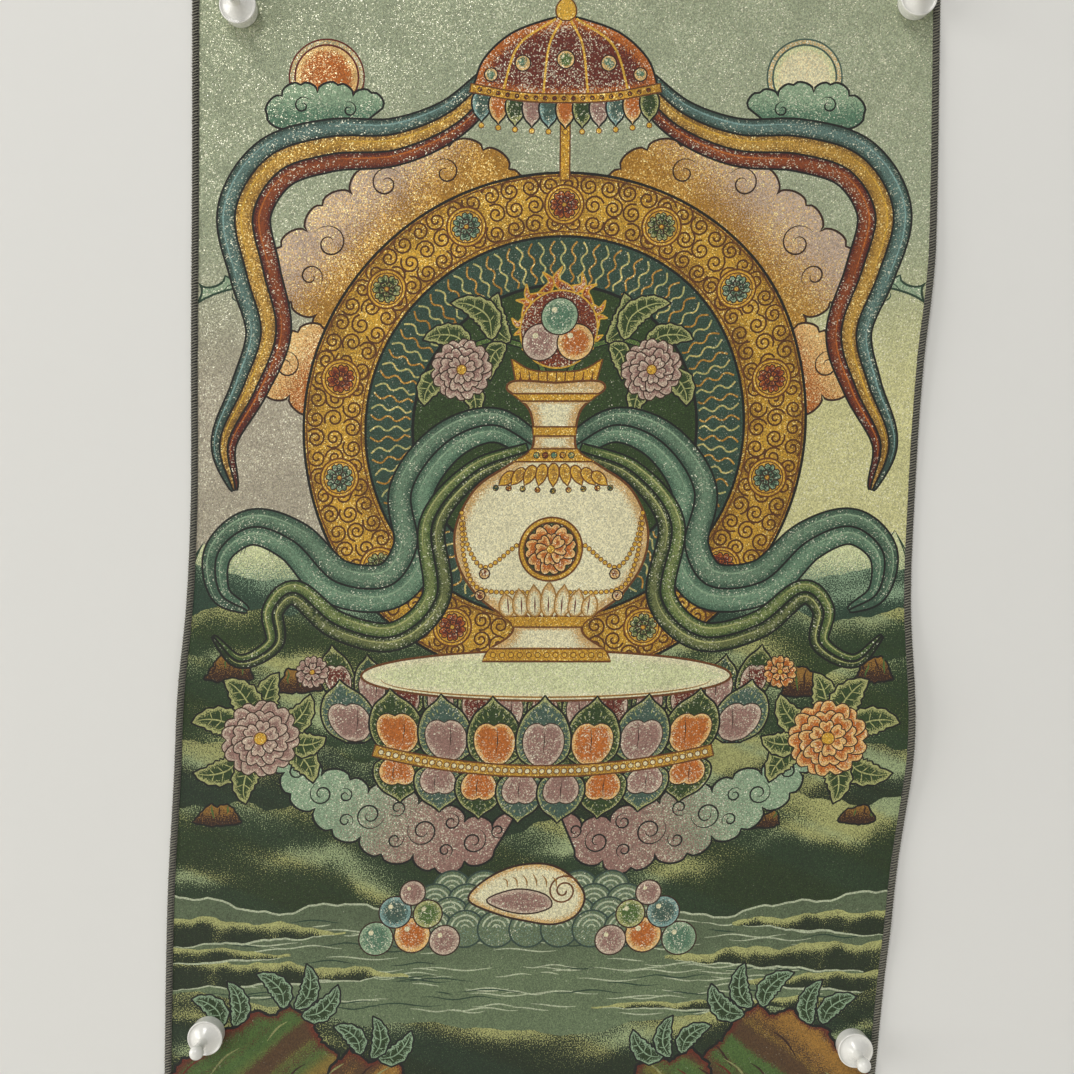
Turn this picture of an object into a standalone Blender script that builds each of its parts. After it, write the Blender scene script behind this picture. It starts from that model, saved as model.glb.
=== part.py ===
"""A woven thangka panel pressed flat on a board by four white knob magnets.

Units are metres and +Z is up. The board is the plane y = 0 and the front faces -Y.
The origin is the middle of the panel's top edge.
"""

import math
from bisect import bisect_right

import bmesh
import bpy

MM = 0.001

# The cloth: 400 x 605 mm, with its overlocked edge
WIDTH = 400 * MM
HEIGHT = 605 * MM
THICKNESS = 1.2 * MM
COLUMNS = 38
ROWS = 57

# Where the two side edges lie, row by row: drop below the top edge, left x, right x.
# The cloth was pinned askew, so its lower part leans to the left.
SIDE_EDGES = (
    (0 * MM, -200.0 * MM, 200.0 * MM),
    (140 * MM, -202.5 * MM, 199.5 * MM),
    (205 * MM, -204.0 * MM, 193.8 * MM),
    (280 * MM, -205.5 * MM, 190.8 * MM),
    (335 * MM, -208.8 * MM, 189.6 * MM),
    (395 * MM, -214.9 * MM, 191.6 * MM),
    (430 * MM, -217.2 * MM, 190.6 * MM),
    (500 * MM, -222.0 * MM, 182.6 * MM),
    (605 * MM, -225.6 * MM, 173.9 * MM),
)
TOP_SAG = 1.6 * MM
BOTTOM_SLANT = 1.8 * MM

# Low waves in the cloth: share across, share down, half width, half height, lift off the board
WAVES = (
    (1.02, 0.29, 0.10, 0.10, 2.6 * MM),
    (1.03, 0.66, 0.15, 0.08, 6.0 * MM),
    (1.00, 0.85, 0.09, 0.05, 2.0 * MM),
    (-0.02, 0.62, 0.07, 0.045, 2.4 * MM),
    (-0.02, 0.27, 0.06, 0.08, 0.8 * MM),
    (0.30, 0.42, 0.16, 0.10, 0.9 * MM),
    (0.66, 0.52, 0.13, 0.15, 1.7 * MM),
    (0.52, 0.00, 0.22, 0.05, 2.2 * MM),
    (0.34, 1.01, 0.16, 0.05, 2.4 * MM),
    (0.72, 1.00, 0.10, 0.06, 1.5 * MM),
)

# The magnets: name, x and z of the axis on the board
MAGNETS = (
    ("top_left", -174 * MM, -16 * MM),
    ("top_right", 186 * MM, -12 * MM),
    ("bottom_left", -200 * MM, -576 * MM),
    ("bottom_right", 161 * MM, -583 * MM),
)
PRESS_RADIUS = 17 * MM
PRESS_FADE = 55 * MM
SEAT_GAP = 0.3 * MM

# A knob magnet, as radius and height above its base
MAGNET_STEPS = 36
BASE_RADIUS = 9.1 * MM
BASE_ROUND = 0.5 * MM
RIM_RADIUS = 9.7 * MM
RIM_HEIGHT = 8.0 * MM
RIM_ROUND = 0.45 * MM
NECK_RADIUS = 2.5 * MM
NECK_LOW = 11.6 * MM
CONE_BEND = 2.2
CONE_STEPS = 6
BALL_RADIUS = 3.8 * MM
BALL_HEIGHT = 22.4 * MM
BALL_STEPS = 9


def smooth_between(rows, at, column):
    """The value of a column of rows at a place, on a smooth curve through all rows."""
    places = [row[0] for row in rows]
    i = min(max(bisect_right(places, at) - 1, 0), len(rows) - 2)
    span = places[i + 1] - places[i]
    t = (at - places[i]) / span

    def slope(k):
        low, high = max(k - 1, 0), min(k + 1, len(rows) - 1)
        return (rows[high][column] - rows[low][column]) / (places[high] - places[low])

    rise = rows[i + 1][column] - rows[i][column]
    bend_start = slope(i) * span - rise
    bend_end = slope(i + 1) * span - rise
    straight = rows[i][column] + rise * t
    return straight + t * (1 - t) * ((1 - t) * bend_start - t * bend_end)


def ease(t):
    """A smooth step from 0 to 1."""
    t = min(max(t, 0.0), 1.0)
    return t * t * (3 - 2 * t)


def lift(across, down, x, z):
    """How far the cloth's back stands off the board."""
    raised = sum(
        height * math.exp(-(((across - u) / half_u) ** 2) - ((down - w) / half_w) ** 2)
        for u, w, half_u, half_w, height in WAVES
    )
    for _, magnet_x, magnet_z in MAGNETS:
        away = math.hypot(x - magnet_x, z - magnet_z)
        raised *= ease((away - PRESS_RADIUS) / PRESS_FADE)
    return raised


def hung(across, down):
    """The place of the cloth's back at a share of its width and of its height."""
    drop = HEIGHT * down
    left = smooth_between(SIDE_EDGES, drop, 1)
    right = smooth_between(SIDE_EDGES, drop, 2)
    x = left + (right - left) * across
    sag = TOP_SAG * math.sin(math.pi * across) * (1 - down) ** 2
    z = -drop - sag - BOTTOM_SLANT * (1 - across) * down ** 2
    return x, -lift(across, down, x, z), z


def plain_material(name, colour, roughness, sheen=0.0, coat=0.0):
    material = bpy.data.materials.new(name)
    material.use_nodes = True
    shader = material.node_tree.nodes["Principled BSDF"]
    shader.inputs["Base Color"].default_value = (*colour, 1.0)
    shader.inputs["Roughness"].default_value = roughness
    shader.inputs["Metallic"].default_value = 0.0
    shader.inputs["Sheen Weight"].default_value = sheen
    shader.inputs["Coat Weight"].default_value = coat
    return material


def brocade_material():
    return plain_material("brocade", (0.33, 0.36, 0.25), 0.6, sheen=0.2)


def white_plastic_material():
    return plain_material("white_plastic", (0.84, 0.84, 0.80), 0.22, coat=0.4)


def object_from(bm, name, material, smooth):
    mesh = bpy.data.meshes.new(name)
    bm.to_mesh(mesh)
    bm.free()
    mesh.materials.append(material)
    for face in mesh.polygons:
        face.use_smooth = smooth
    ob = bpy.data.objects.new(name, mesh)
    bpy.context.scene.collection.objects.link(ob)
    return ob


def woven_panel(material):
    """The cloth's back as a grid of small faces, thickened towards the front."""
    bm = bmesh.new()
    rows = [
        [bm.verts.new(hung(i / COLUMNS, j / ROWS)) for i in range(COLUMNS + 1)]
        for j in range(ROWS + 1)
    ]
    for j in range(ROWS):
        for i in range(COLUMNS):
            bm.faces.new((rows[j][i], rows[j][i + 1], rows[j + 1][i + 1], rows[j + 1][i]))
    panel = object_from(bm, "woven_panel", material, smooth=True)
    solid = panel.modifiers.new("thickness", "SOLIDIFY")
    solid.thickness = THICKNESS
    solid.offset = -1.0
    solid.use_even_offset = False
    return panel


def arc(centre, radius, start, end, steps):
    """Points of an arc, with angles in degrees from the outward direction."""
    points = []
    for k in range(steps + 1):
        turn = math.radians(start + (end - start) * k / steps)
        points.append((centre[0] + radius * math.cos(turn), centre[1] + radius * math.sin(turn)))
    return points


def magnet_profile():
    """The outline of a magnet from the middle of its base to the top of its knob."""
    points = [(0.0, 0.0)]
    points += arc((BASE_RADIUS - BASE_ROUND, BASE_ROUND), BASE_ROUND, -90, 0, 3)
    rim = (RIM_RADIUS - RIM_ROUND, RIM_HEIGHT - RIM_ROUND)
    points += arc(rim, RIM_ROUND, 0, 110, 5)
    cone_foot = points[-1]
    for k in range(1, CONE_STEPS + 1):
        t = k / CONE_STEPS
        radius = cone_foot[0] + (NECK_RADIUS - cone_foot[0]) * t
        points.append((radius, cone_foot[1] + (NECK_LOW - cone_foot[1]) * t ** CONE_BEND))
    neck_turn = math.degrees(math.acos(NECK_RADIUS / BALL_RADIUS))
    points += arc((0.0, BALL_HEIGHT), BALL_RADIUS, -neck_turn, 90, BALL_STEPS)
    points[-1] = (0.0, BALL_HEIGHT + BALL_RADIUS)
    return points


def knob_magnet(name, x, z, material):
    """A puck with a hollow cone and a ball knob, turned round its axis and set on the cloth."""
    bm = bmesh.new()
    chain = [bm.verts.new((radius, 0.0, height)) for radius, height in magnet_profile()]
    edges = [bm.edges.new(pair) for pair in zip(chain, chain[1:])]
    bmesh.ops.spin(
        bm,
        geom=chain + edges,
        cent=(0, 0, 0),
        axis=(0, 0, 1),
        angle=math.tau,
        steps=MAGNET_STEPS,
        use_merge=True,
    )
    bmesh.ops.remove_doubles(bm, verts=bm.verts, dist=0.001 * MM)
    bmesh.ops.recalc_face_normals(bm, faces=bm.faces)
    magnet = object_from(bm, f"knob_magnet_{name}", material, smooth=True)
    magnet.rotation_euler = (math.radians(90), 0, 0)
    magnet.location = (x, -THICKNESS - SEAT_GAP, z)
    return magnet


def main():
    for ob in list(bpy.data.objects):
        bpy.data.objects.remove(ob, do_unlink=True)
    woven_panel(brocade_material())
    plastic = white_plastic_material()
    for name, x, z in MAGNETS:
        knob_magnet(name, x, z, plastic)


main()
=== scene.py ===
"""The looks of a woven thangka panel on a board: brocade, overlock thread, knob magnets, stage.

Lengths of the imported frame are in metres. The picture on the cloth is drawn flat, in
millimetres, with x from -200 to 200 and y from 0 at the top edge to -605 at the bottom.
"""

import math

import bpy
import numpy as np
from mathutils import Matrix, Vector
from mathutils.geometry import delaunay_2d_cdt


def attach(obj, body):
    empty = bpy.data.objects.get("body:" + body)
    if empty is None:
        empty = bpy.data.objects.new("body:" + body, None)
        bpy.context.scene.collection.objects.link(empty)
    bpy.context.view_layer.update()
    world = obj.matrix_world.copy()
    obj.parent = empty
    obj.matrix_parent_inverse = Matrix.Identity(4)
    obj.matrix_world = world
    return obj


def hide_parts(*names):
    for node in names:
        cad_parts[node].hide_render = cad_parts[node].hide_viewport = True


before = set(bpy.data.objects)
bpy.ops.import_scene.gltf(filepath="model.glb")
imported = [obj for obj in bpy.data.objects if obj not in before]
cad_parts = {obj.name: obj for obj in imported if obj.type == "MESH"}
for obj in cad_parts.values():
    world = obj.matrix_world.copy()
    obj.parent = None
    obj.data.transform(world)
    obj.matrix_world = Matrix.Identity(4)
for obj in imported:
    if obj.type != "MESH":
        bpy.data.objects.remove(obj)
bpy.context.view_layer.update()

MM = 0.001
TAU = math.tau

# The hung cloth, as in the solids
WIDTH, HEIGHT, THICKNESS = 400.0, 605.0, 1.2
SIDE_EDGES = np.array((
    (0, -200.0, 200.0),
    (140, -202.5, 199.5),
    (205, -204.0, 193.8),
    (280, -205.5, 190.8),
    (335, -208.8, 189.6),
    (395, -214.9, 191.6),
    (430, -217.2, 190.6),
    (500, -222.0, 182.6),
    (605, -225.6, 173.9),
))
TOP_SAG = 1.6
BOTTOM_SLANT = 1.8
WAVES = (
    (1.02, 0.29, 0.10, 0.10, 2.6),
    (1.03, 0.66, 0.15, 0.08, 6.0),
    (1.00, 0.85, 0.09, 0.05, 2.0),
    (-0.02, 0.62, 0.07, 0.045, 2.4),
    (-0.02, 0.27, 0.06, 0.08, 0.8),
    (0.30, 0.42, 0.16, 0.10, 0.9),
    (0.66, 0.52, 0.13, 0.15, 1.7),
    (0.52, 0.00, 0.22, 0.05, 2.2),
    (0.34, 1.01, 0.16, 0.05, 2.4),
    (0.72, 1.00, 0.10, 0.06, 1.5),
)
MAGNETS = (
    ("top_left", -174, -16),
    ("top_right", 186, -12),
    ("bottom_left", -200, -576),
    ("bottom_right", 161, -583),
)
PRESS_RADIUS, PRESS_FADE, SEAT_GAP = 17.0, 55.0, 0.3

# The overlock round the edge. Each thread has a name, the path of one stitch, its radius, its
# sides, and its darkest and palest strands. A path's points are the share of the seam's width in
# from the edge, the height off the cloth's back in mm, and the advance in stitches.
SEAM_WIDTH = 3.5
STITCH_PITCH = 1.5
THREADS = (
    ("looper", (
        (1.00, 1.05, 0.44), (0.96, 1.48, 0.42), (0.70, 1.60, 0.27), (0.38, 1.60, 0.03),
        (0.10, 1.46, -0.20), (-0.05, 0.95, -0.32), (-0.05, 0.30, -0.36), (0.12, -0.18, -0.30),
        (0.55, -0.24, 0.00), (0.95, -0.10, 0.25),
    ), 0.35, 5, (0.75, 1.05)),
    # The under looper's near-black strands are painted shade in the gaps between the looper's strands
    ("under_looper", (
        (0.94, 1.18, 0.91), (0.62, 1.34, 0.71), (0.30, 1.34, 0.47), (0.02, 1.10, 0.25),
        (-0.03, 0.60, 0.18),
    ), 0.24, 4, (0.0, 0.08)),
    ("needle", (
        (1.02, 1.10, -0.45), (1.03, 1.45, -0.25), (1.03, 1.45, 0.25), (1.02, 1.10, 0.45),
    ), 0.2, 4, (0.1, 0.4)),
)
THREAD_WANDER = 0.04
# Half the width of the dark band under the threads, most of it past the cloth's edge
SEAM_BAND = 30.0

# The outline of a magnet above its base
CONE_FOOT, CONE_BEND = np.array((8.35, 7.45)), 1.5
NECK = np.array((2.5, 11.6))
BALL_RADIUS, BALL_HEIGHT = 3.8, 22.4
MAGNET_STEPS = 96

# How finely the picture is cut into faces
LINE_STEP = 1.7
FACE_STEP = 3.1
BACK_STEP = 8.0
EDGE_STEP = 4.0
GRID = 0.05
BACK_DETAIL = 8.0
SEED = 7

# The land is drawn this far to both sides and down, past the cloth's edge
PAST_SIDE, PAST_FOOT = 206, -612


def srgb(r, g, b):
    """A colour by its usual 0 to 255 numbers, as linear light."""
    c = np.array((r, g, b), float) / 255
    return np.where(c <= 0.04045, c / 12.92, ((c + 0.055) / 1.055) ** 2.4)


# Yarn colours
SKY_SAGE = srgb(160, 167, 144)
SKY_MAUVE = srgb(173, 163, 149)
# Painted sheen: the warm straw that the metal threads show towards the lower right
SKY_STRAW_SHEEN = srgb(204, 199, 152)
FLECK_GOLD = srgb(198, 194, 148)
LEAF_GREEN = srgb(48, 70, 24)
MOSS = srgb(82, 108, 52)
NIGHT_GREEN = srgb(32, 48, 18)
STRAW_GREEN = srgb(172, 172, 118)
TEAL = srgb(92, 126, 104)
PALE_TEAL = srgb(146, 168, 142)
DEEP_TEAL = srgb(45, 71, 54)
SLATE = srgb(72, 96, 86)
PALE_SLATE = srgb(134, 164, 162)
WATER = srgb(106, 120, 92)
FOAM = srgb(182, 188, 164)
GOLD = srgb(168, 122, 34)
BRIGHT_GOLD = srgb(208, 166, 62)
OLD_GOLD = srgb(158, 118, 52)
BROWN = srgb(112, 66, 18)
DARK_BROWN = srgb(60, 32, 12)
RUST = srgb(108, 38, 16)
ORANGE = srgb(184, 106, 32)
PALE_ORANGE = srgb(222, 184, 126)
MAUVE = srgb(152, 118, 110)
PALE_MAUVE = srgb(194, 172, 158)
CREAM = srgb(220, 212, 182)
CREAM_GREEN = srgb(204, 207, 166)
INK = srgb(18, 20, 10)
ROCK = srgb(116, 84, 48)
# Near black: the seam's dark edge yarn and painted shade in the gaps between the overlock's strands
SELVEDGE_AND_GAP_SHADE = srgb(15, 15, 12)
YARN_GAIN, YARN_CONTRAST = (1.05, 1.07, 0.99), 1.13


# The hung shape


def side_edge(drop, column):
    """x of a side edge at each drop below the top edge, on a smooth curve through SIDE_EDGES."""
    places, values = SIDE_EDGES[:, 0], SIDE_EDGES[:, column]
    reach = np.r_[places[1:], places[-1]] - np.r_[places[0], places[:-1]]
    slopes = (np.r_[values[1:], values[-1]] - np.r_[values[0], values[:-1]]) / reach
    i = np.clip(np.searchsorted(places, drop, side="right") - 1, 0, len(places) - 2)
    span = places[i + 1] - places[i]
    rise = values[i + 1] - values[i]
    t = (drop - places[i]) / span
    bend = (1 - t) * (slopes[i] * span - rise) - t * (slopes[i + 1] * span - rise)
    return values[i] + rise * t + t * (1 - t) * bend


def ease(t):
    """A smooth step from 0 to 1."""
    t = np.clip(t, 0.0, 1.0)
    return t * t * (3 - 2 * t)


def hung(flat):
    """The place of the cloth's back, in millimetres, for points of the flat picture."""
    across = (flat[:, 0] + WIDTH / 2) / WIDTH
    down = -flat[:, 1] / HEIGHT
    left = side_edge(HEIGHT * down, 1)
    right = side_edge(HEIGHT * down, 2)
    x = left + (right - left) * across
    sag = TOP_SAG * np.sin(np.pi * across) * (1 - down) ** 2
    z = -HEIGHT * down - sag - BOTTOM_SLANT * (1 - across) * down ** 2
    raised = np.zeros(len(flat))
    for u, w, half_u, half_w, height in WAVES:
        raised += height * np.exp(-(((across - u) / half_u) ** 2) - ((down - w) / half_w) ** 2)
    for _, magnet_x, magnet_z in MAGNETS:
        away = np.hypot(x - magnet_x, z - magnet_z)
        raised *= ease((away - PRESS_RADIUS) / PRESS_FADE)
    return np.column_stack([x, -raised, z])


def in_front(flat, height):
    """Places this far in front of the cloth's back, in metres."""
    places = hung(np.asarray(flat, float))
    places[:, 1] -= height
    return places * MM


# Lines and outlines


def even(line, step, closed=False):
    """The same line with its points at even steps."""
    if closed:
        line = np.vstack([line, line[:1]])
    along = np.r_[0, np.cumsum(np.hypot(*np.diff(line, axis=0).T))]
    count = max(int(round(along[-1] / step)), 5 if closed else 2)
    at = np.linspace(0, along[-1], count + 1)
    if closed:
        at = at[:-1]
    return np.column_stack([np.interp(at, along, line[:, k]) for k in (0, 1)])


def curve(points, closed=False, step=LINE_STEP):
    """A smooth line through points."""
    p = np.asarray(points, float)
    if closed:
        p = np.vstack([p[-1], p, p[0], p[1]])
    else:
        p = np.vstack([2 * p[0] - p[1], p, 2 * p[-1] - p[-2]])
    t = np.linspace(0, 1, 11)[:-1, None]
    parts = []
    for a, b, c, d in zip(p, p[1:], p[2:], p[3:]):
        parts.append(
            b + 0.5 * t * (c - a + t * (2 * a - 5 * b + 4 * c - d + t * (3 * b - a - 3 * c + d)))
        )
    if not closed:
        parts.append(p[-2][None])
    return even(np.vstack(parts), step, closed)


def arc(centre, radius, start, end, step=LINE_STEP):
    """An arc or an oval's part. Angles are in turns, from the right and against the clock."""
    rx, ry = radius if isinstance(radius, tuple) else (radius, radius)
    count = max(int(abs(end - start) * TAU * max(rx, ry) / step), 3)
    turn = TAU * np.linspace(start, end, count + 1)
    return np.column_stack([centre[0] + rx * np.cos(turn), centre[1] + ry * np.sin(turn)])


def circle(centre, radius, step=LINE_STEP):
    return arc(centre, radius, 0, 1, min(step, np.min(radius) * 0.7))[:-1]


def spiral(centre, radii, start, turns):
    """A line that winds from the first radius to the second."""
    steps = max(int(abs(turns) * math.pi * sum(radii) / LINE_STEP), 6)
    t = np.linspace(0, 1, steps + 1)
    r = radii[0] + (radii[1] - radii[0]) * t
    turn = TAU * (start + turns * t)
    return np.column_stack([centre[0] + r * np.cos(turn), centre[1] + r * np.sin(turn)])


def sideways(path, closed=False):
    """Unit vectors to the left of a path at each of its points."""
    if closed:
        run = np.roll(path, -1, axis=0) - np.roll(path, 1, axis=0)
    else:
        run = np.gradient(path, axis=0)
    run /= np.maximum(np.hypot(*run.T), 1e-9)[:, None]
    return np.column_stack([-run[:, 1], run[:, 0]])


def ribbon(path, half):
    """The outline of a band along a path. half is its half width, one number or one a point."""
    reach = sideways(path) * np.broadcast_to(half, len(path))[:, None]
    return np.vstack([path + reach, (path - reach)[::-1]])


def band_round(path, half):
    """The outline of a band along a closed path, with the hole left open."""
    reach = sideways(path, closed=True) * half
    outer, inner = path + reach, path - reach
    return np.vstack([outer, outer[:1], inner[:1], inner[::-1]])


def scallops(points, bulge):
    """A line of outward bows from point to point, as on the edge of a cloud."""
    parts = []
    for a, b in zip(np.asarray(points, float), np.asarray(points[1:], float)):
        t = np.linspace(0, 1, max(int(np.hypot(*(b - a)) * 1.3 / LINE_STEP), 4))[:-1, None]
        out = np.array([a[1] - b[1], b[0] - a[0]])
        parts.append(a + (b - a) * t + out * bulge * np.sqrt(np.maximum(t * (1 - t), 0)))
    return np.vstack(parts + [np.asarray(points[-1:], float)])


def mirrored(points, side):
    """Points as drawn for the right side, or turned over for the left side."""
    return np.asarray(points, float) * (side, 1)


def inside(points, outline):
    """Whether each point lies inside an outline."""
    order = np.argsort(points[:, 1], kind="stable")
    x, y = points[order].T
    turns = np.zeros(len(points), int)
    rows = np.searchsorted(y, outline[:, 1])
    x0, y0, row0 = *outline[-1], rows[-1]
    for (x1, y1), row1 in zip(outline, rows):
        if row0 != row1:
            part = slice(min(row0, row1), max(row0, row1))
            right = x[part] < x0 + (y[part] - y0) * ((x1 - x0) / (y1 - y0))
            turns[part] += right if y1 > y0 else -right.astype(int)
        x0, y0, row0 = x1, y1, row1
    found = np.empty(len(points), bool)
    found[order] = turns != 0
    return found


class Places:
    """Points, sorted across so that those inside an outline are found fast."""

    def __init__(self, points):
        self.points = points
        self.order = np.argsort(points[:, 0], kind="stable")
        self.across = points[self.order, 0]

    def within(self, outline):
        low, high = outline.min(0), outline.max(0)
        first, last = np.searchsorted(self.across, (low[0], high[0]))
        near = self.order[first:last]
        y = self.points[near, 1]
        near = near[(y >= low[1]) & (y <= high[1])]
        return near[inside(self.points[near], outline)]


def distance_to(points, outline):
    """How far each point is from the nearest point of a finely stepped outline."""
    best = np.full(len(points), np.inf)
    for place in outline:
        best = np.minimum(best, np.hypot(*(points - place).T))
    return best


# Paints: each gives two yarn colours and the share of the second at each point


def yarns(p, first, second, share):
    """What a paint gives, from values for all points or for each."""
    size = (len(p), 3)
    return np.broadcast_to(first, size), np.broadcast_to(second, size), np.broadcast_to(share, len(p))


def plain(colour, fleck=None, share=0.0):
    """One yarn, or one with flecks of another."""
    other = colour if fleck is None else fleck
    return lambda p: yarns(p, colour, other, share)


def ramp(near, far, start, end, low=0.0, high=1.0):
    """From one yarn at start to another at end."""
    start, end = np.asarray(start, float), np.asarray(end, float)

    def paint(p):
        t = ease(((p - start) @ (end - start)) / ((end - start) @ (end - start)))
        return yarns(p, near, far, low + (high - low) * t)

    return paint


def rimmed(core, rim, outline, width, share=0.0):
    """One yarn with a soft rim of another along the outline."""

    def paint(p):
        t = 1 - ease(distance_to(p, outline) / width)
        return yarns(p, core, rim, share + (1 - share) * t)

    return paint


def sky_paint(p):
    """Sage above, mauve at the lower left and straw at the lower right, with gold flecks. The straw is
    painted sheen of the metal threads.
    """
    down = ease((-p[:, 1] - 120) / 110)[:, None]
    right = ease((p[:, 0] + 70) / 200)[:, None]
    # The straw towards the right is painted sheen
    low = SKY_MAUVE + (SKY_STRAW_SHEEN - SKY_MAUVE) * right
    base = SKY_SAGE + (low - SKY_SAGE) * down
    return yarns(p, base, base + (FLECK_GOLD - base) * 0.45, 0.22)


class Picture:
    """What is woven into the cloth, from the back to the front."""

    def __init__(self):
        self.shapes = []

    def fill(self, outline, paint, lurex=0.08, line=None, width=0.9, show_behind=True):
        """An area of yarn. lurex is how much metal thread glints in it."""
        outline = np.asarray(outline, float)
        self.shapes.append((outline, paint, lurex, show_behind))
        if line is not None:
            self.trace(outline, line, width, closed=True)

    def stroke(self, start, end, colour, width):
        """A short line that is thin at both ends."""
        self.trace(np.array([start, (start + end) / 2, end]), colour, width, taper=True)

    def trace(self, path, colour, width=0.9, closed=False, taper=False, lurex=0.0):
        """A drawn line."""
        path = np.asarray(path, float)
        if closed:
            outline = band_round(path, width / 2)
        elif taper:
            t = np.linspace(0, 1, len(path))
            outline = ribbon(path, width / 2 * (0.25 + 0.75 * np.sin(np.pi * t)))
        else:
            outline = ribbon(path, width / 2)
        self.shapes.append((outline, plain(colour), lurex, False))


# Small motifs


def turned(points, angle, centre):
    """Points turned by an angle in turns and moved to a centre."""
    c, s = math.cos(TAU * angle), math.sin(TAU * angle)
    p = np.asarray(points, float)
    return np.column_stack([p[:, 0] * c - p[:, 1] * s, p[:, 0] * s + p[:, 1] * c]) + centre


def leaf(art, base, tip, width, bend=0.15, core=LEAF_GREEN, edge=STRAW_GREEN, teeth=0.0):
    """A leaf with a pale edge, a midrib and side veins."""
    base, tip = np.asarray(base, float), np.asarray(tip, float)
    run = tip - base
    across = np.array([-run[1], run[0]]) * bend
    rib = curve([base, base + run * 0.33 + across, base + run * 0.72 + across * 0.8, tip])
    t = np.linspace(0, 1, len(rib))
    half = width / 2 * np.sin(np.pi * t ** 0.8) ** 0.8
    half *= 1 + teeth * np.sin(t * TAU * max(round(len(rib) / 3.2), 2))
    outline = ribbon(rib, half)
    art.fill(outline, rimmed(core, edge, outline, width * 0.24, 0.06), line=INK, width=1.0)
    art.trace(rib[1:-1], edge, 0.8, taper=True)
    out = sideways(rib)
    for share in (0.3, 0.48, 0.66):
        k = int(share * (len(rib) - 1))
        for turn in (1, -1):
            end = rib[k] + out[k] * half[k] * 0.7 * turn + run * 0.09
            art.stroke(rib[k], end, edge, 0.6)


def leaves(art, side, rows, **looks):
    """Leaves at one side. Each row has a base, a tip, a width and a bend."""
    for base, tip, width, bend in rows:
        leaf(art, mirrored(base, side), mirrored(tip, side), width, bend * side, **looks)


def jewel(art, centre, radius, core, rim=PALE_ORANGE):
    """A polished ball with a pale edge and a glint."""
    outline = circle(centre, radius)
    art.fill(outline, rimmed(core, rim, outline, radius * 0.5, 0.05), 0.5, DARK_BROWN, 0.8)
    spot = (centre[0] - radius * 0.3, centre[1] + radius * 0.35)
    art.fill(circle(spot, radius * 0.16), plain(CREAM), 0.2, show_behind=False)


def gilt(art, outline, share, width, yarn=GOLD):
    """Gold with flecks of bright gold and a brown line round it."""
    art.fill(outline, plain(yarn, BRIGHT_GOLD, share), 1.0, BROWN, width)


def bead(art, centre, radius, colour=BRIGHT_GOLD, line=BROWN):
    art.fill(circle(centre, radius), plain(colour), 1.0, line, 0.5, show_behind=False)


def flame(art, base, tip, width, sway):
    """A licking flame from base to tip."""
    base, tip = np.asarray(base, float), np.asarray(tip, float)
    run = tip - base
    across = np.array([-run[1], run[0]]) * sway
    middle = curve([base, base + run * 0.3 + across, base + run * 0.65 - across * 0.7, tip])
    t = np.linspace(0, 1, len(middle))
    outline = ribbon(middle, width / 2 * (1 - t) ** 0.7 * (0.55 + 1.2 * t * (1 - t)))
    art.fill(outline, rimmed(RUST, ORANGE, outline, width * 0.22), 0.6, BRIGHT_GOLD, 0.8)


# The right halves of a lotus petal, of the two soft lobes inside it, and of a peony's petal, as
# shares of their width and height
LOTUS_HALF = ((0.16, 0.0), (0.44, 0.16), (0.50, 0.44), (0.36, 0.73), (0.11, 0.90), (0.0, 1.0))
HEART_HALF = ((0.0, 0.02), (0.20, 0.07), (0.35, 0.24), (0.37, 0.44), (0.27, 0.58), (0.11, 0.62),
              (0.0, 0.58))
PEONY_HALF = ((0.08, 0.1), (0.34, 0.38), (0.46, 0.68), (0.40, 0.93), (0.17, 1.0), (0.0, 0.88))


def petal_outline(foot, width, height, angle=0.0, lean=0.0, half=LOTUS_HALF):
    """A petal that rises from its foot, leant to one side and turned."""
    right = curve(np.array(half) * (width, height))
    left = mirrored(right, -1)[::-1][1:]
    if half[0][0] == 0:
        left = left[:-1]
    outline = np.vstack([right, left])
    outline[:, 0] += lean * outline[:, 1]
    return turned(outline, angle, foot)


def petal(art, foot, width, height, core, heart, pale, angle=0.0, lean=0.0):
    """A lotus petal with tufts inside its edge and a two-lobed heart."""
    outline = petal_outline(foot, width, height, angle, lean)
    art.fill(outline, rimmed(core, STRAW_GREEN, outline, 1.6, 0.08), 0.25, INK, 1.1)
    inner = petal_outline(foot, width * 0.86, height * 0.88, angle, lean)
    aim = turned(np.array([(lean * height * 0.5, height * 0.42)]), angle, foot)[0]
    for k in range(2, len(inner) - 2, 2):
        if abs(k - len(inner) / 2) < 2:
            continue
        end = inner[k] + (aim - inner[k]) * 0.17
        art.stroke(inner[k], end, STRAW_GREEN, 0.7)
    lobes = petal_outline(foot, width, height, angle, lean, HEART_HALF)
    art.fill(lobes, rimmed(heart, pale, lobes, width * 0.085, 0.1), 0.5, DARK_BROWN, 0.6)
    seam = turned(np.array([(0, 0.57), (0.02, 0.36), (0, 0.16)]) * (width, height), angle, foot)
    art.trace(seam, DARK_BROWN, 0.6, taper=True)


def blossom(art, centre, radius, core, pale, tilt=0.0, rounds=((9, 1.0), (8, 0.74), (6, 0.48))):
    """A peony: rounds of notched petals about a gold heart."""
    for number, reach in rounds:
        for k in range(number):
            angle = (k + 0.5 * (number % 2)) / number + tilt
            length = radius * reach
            outline = petal_outline(centre, length * 0.82, length, angle, half=PEONY_HALF)
            art.fill(outline, rimmed(core, pale, outline, radius * 0.13, 0.12), 0.3, DARK_BROWN, 0.7)
            vein = turned(np.array([(0, 0.45), (0, 0.62), (0, 0.78)]) * (1, length), angle, centre)
            art.trace(vein, core * 0.6, 0.6, taper=True)
    art.fill(circle(centre, radius * 0.17), plain(BRIGHT_GOLD, BROWN, 0.3), 1.0, BROWN, 0.6)


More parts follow.
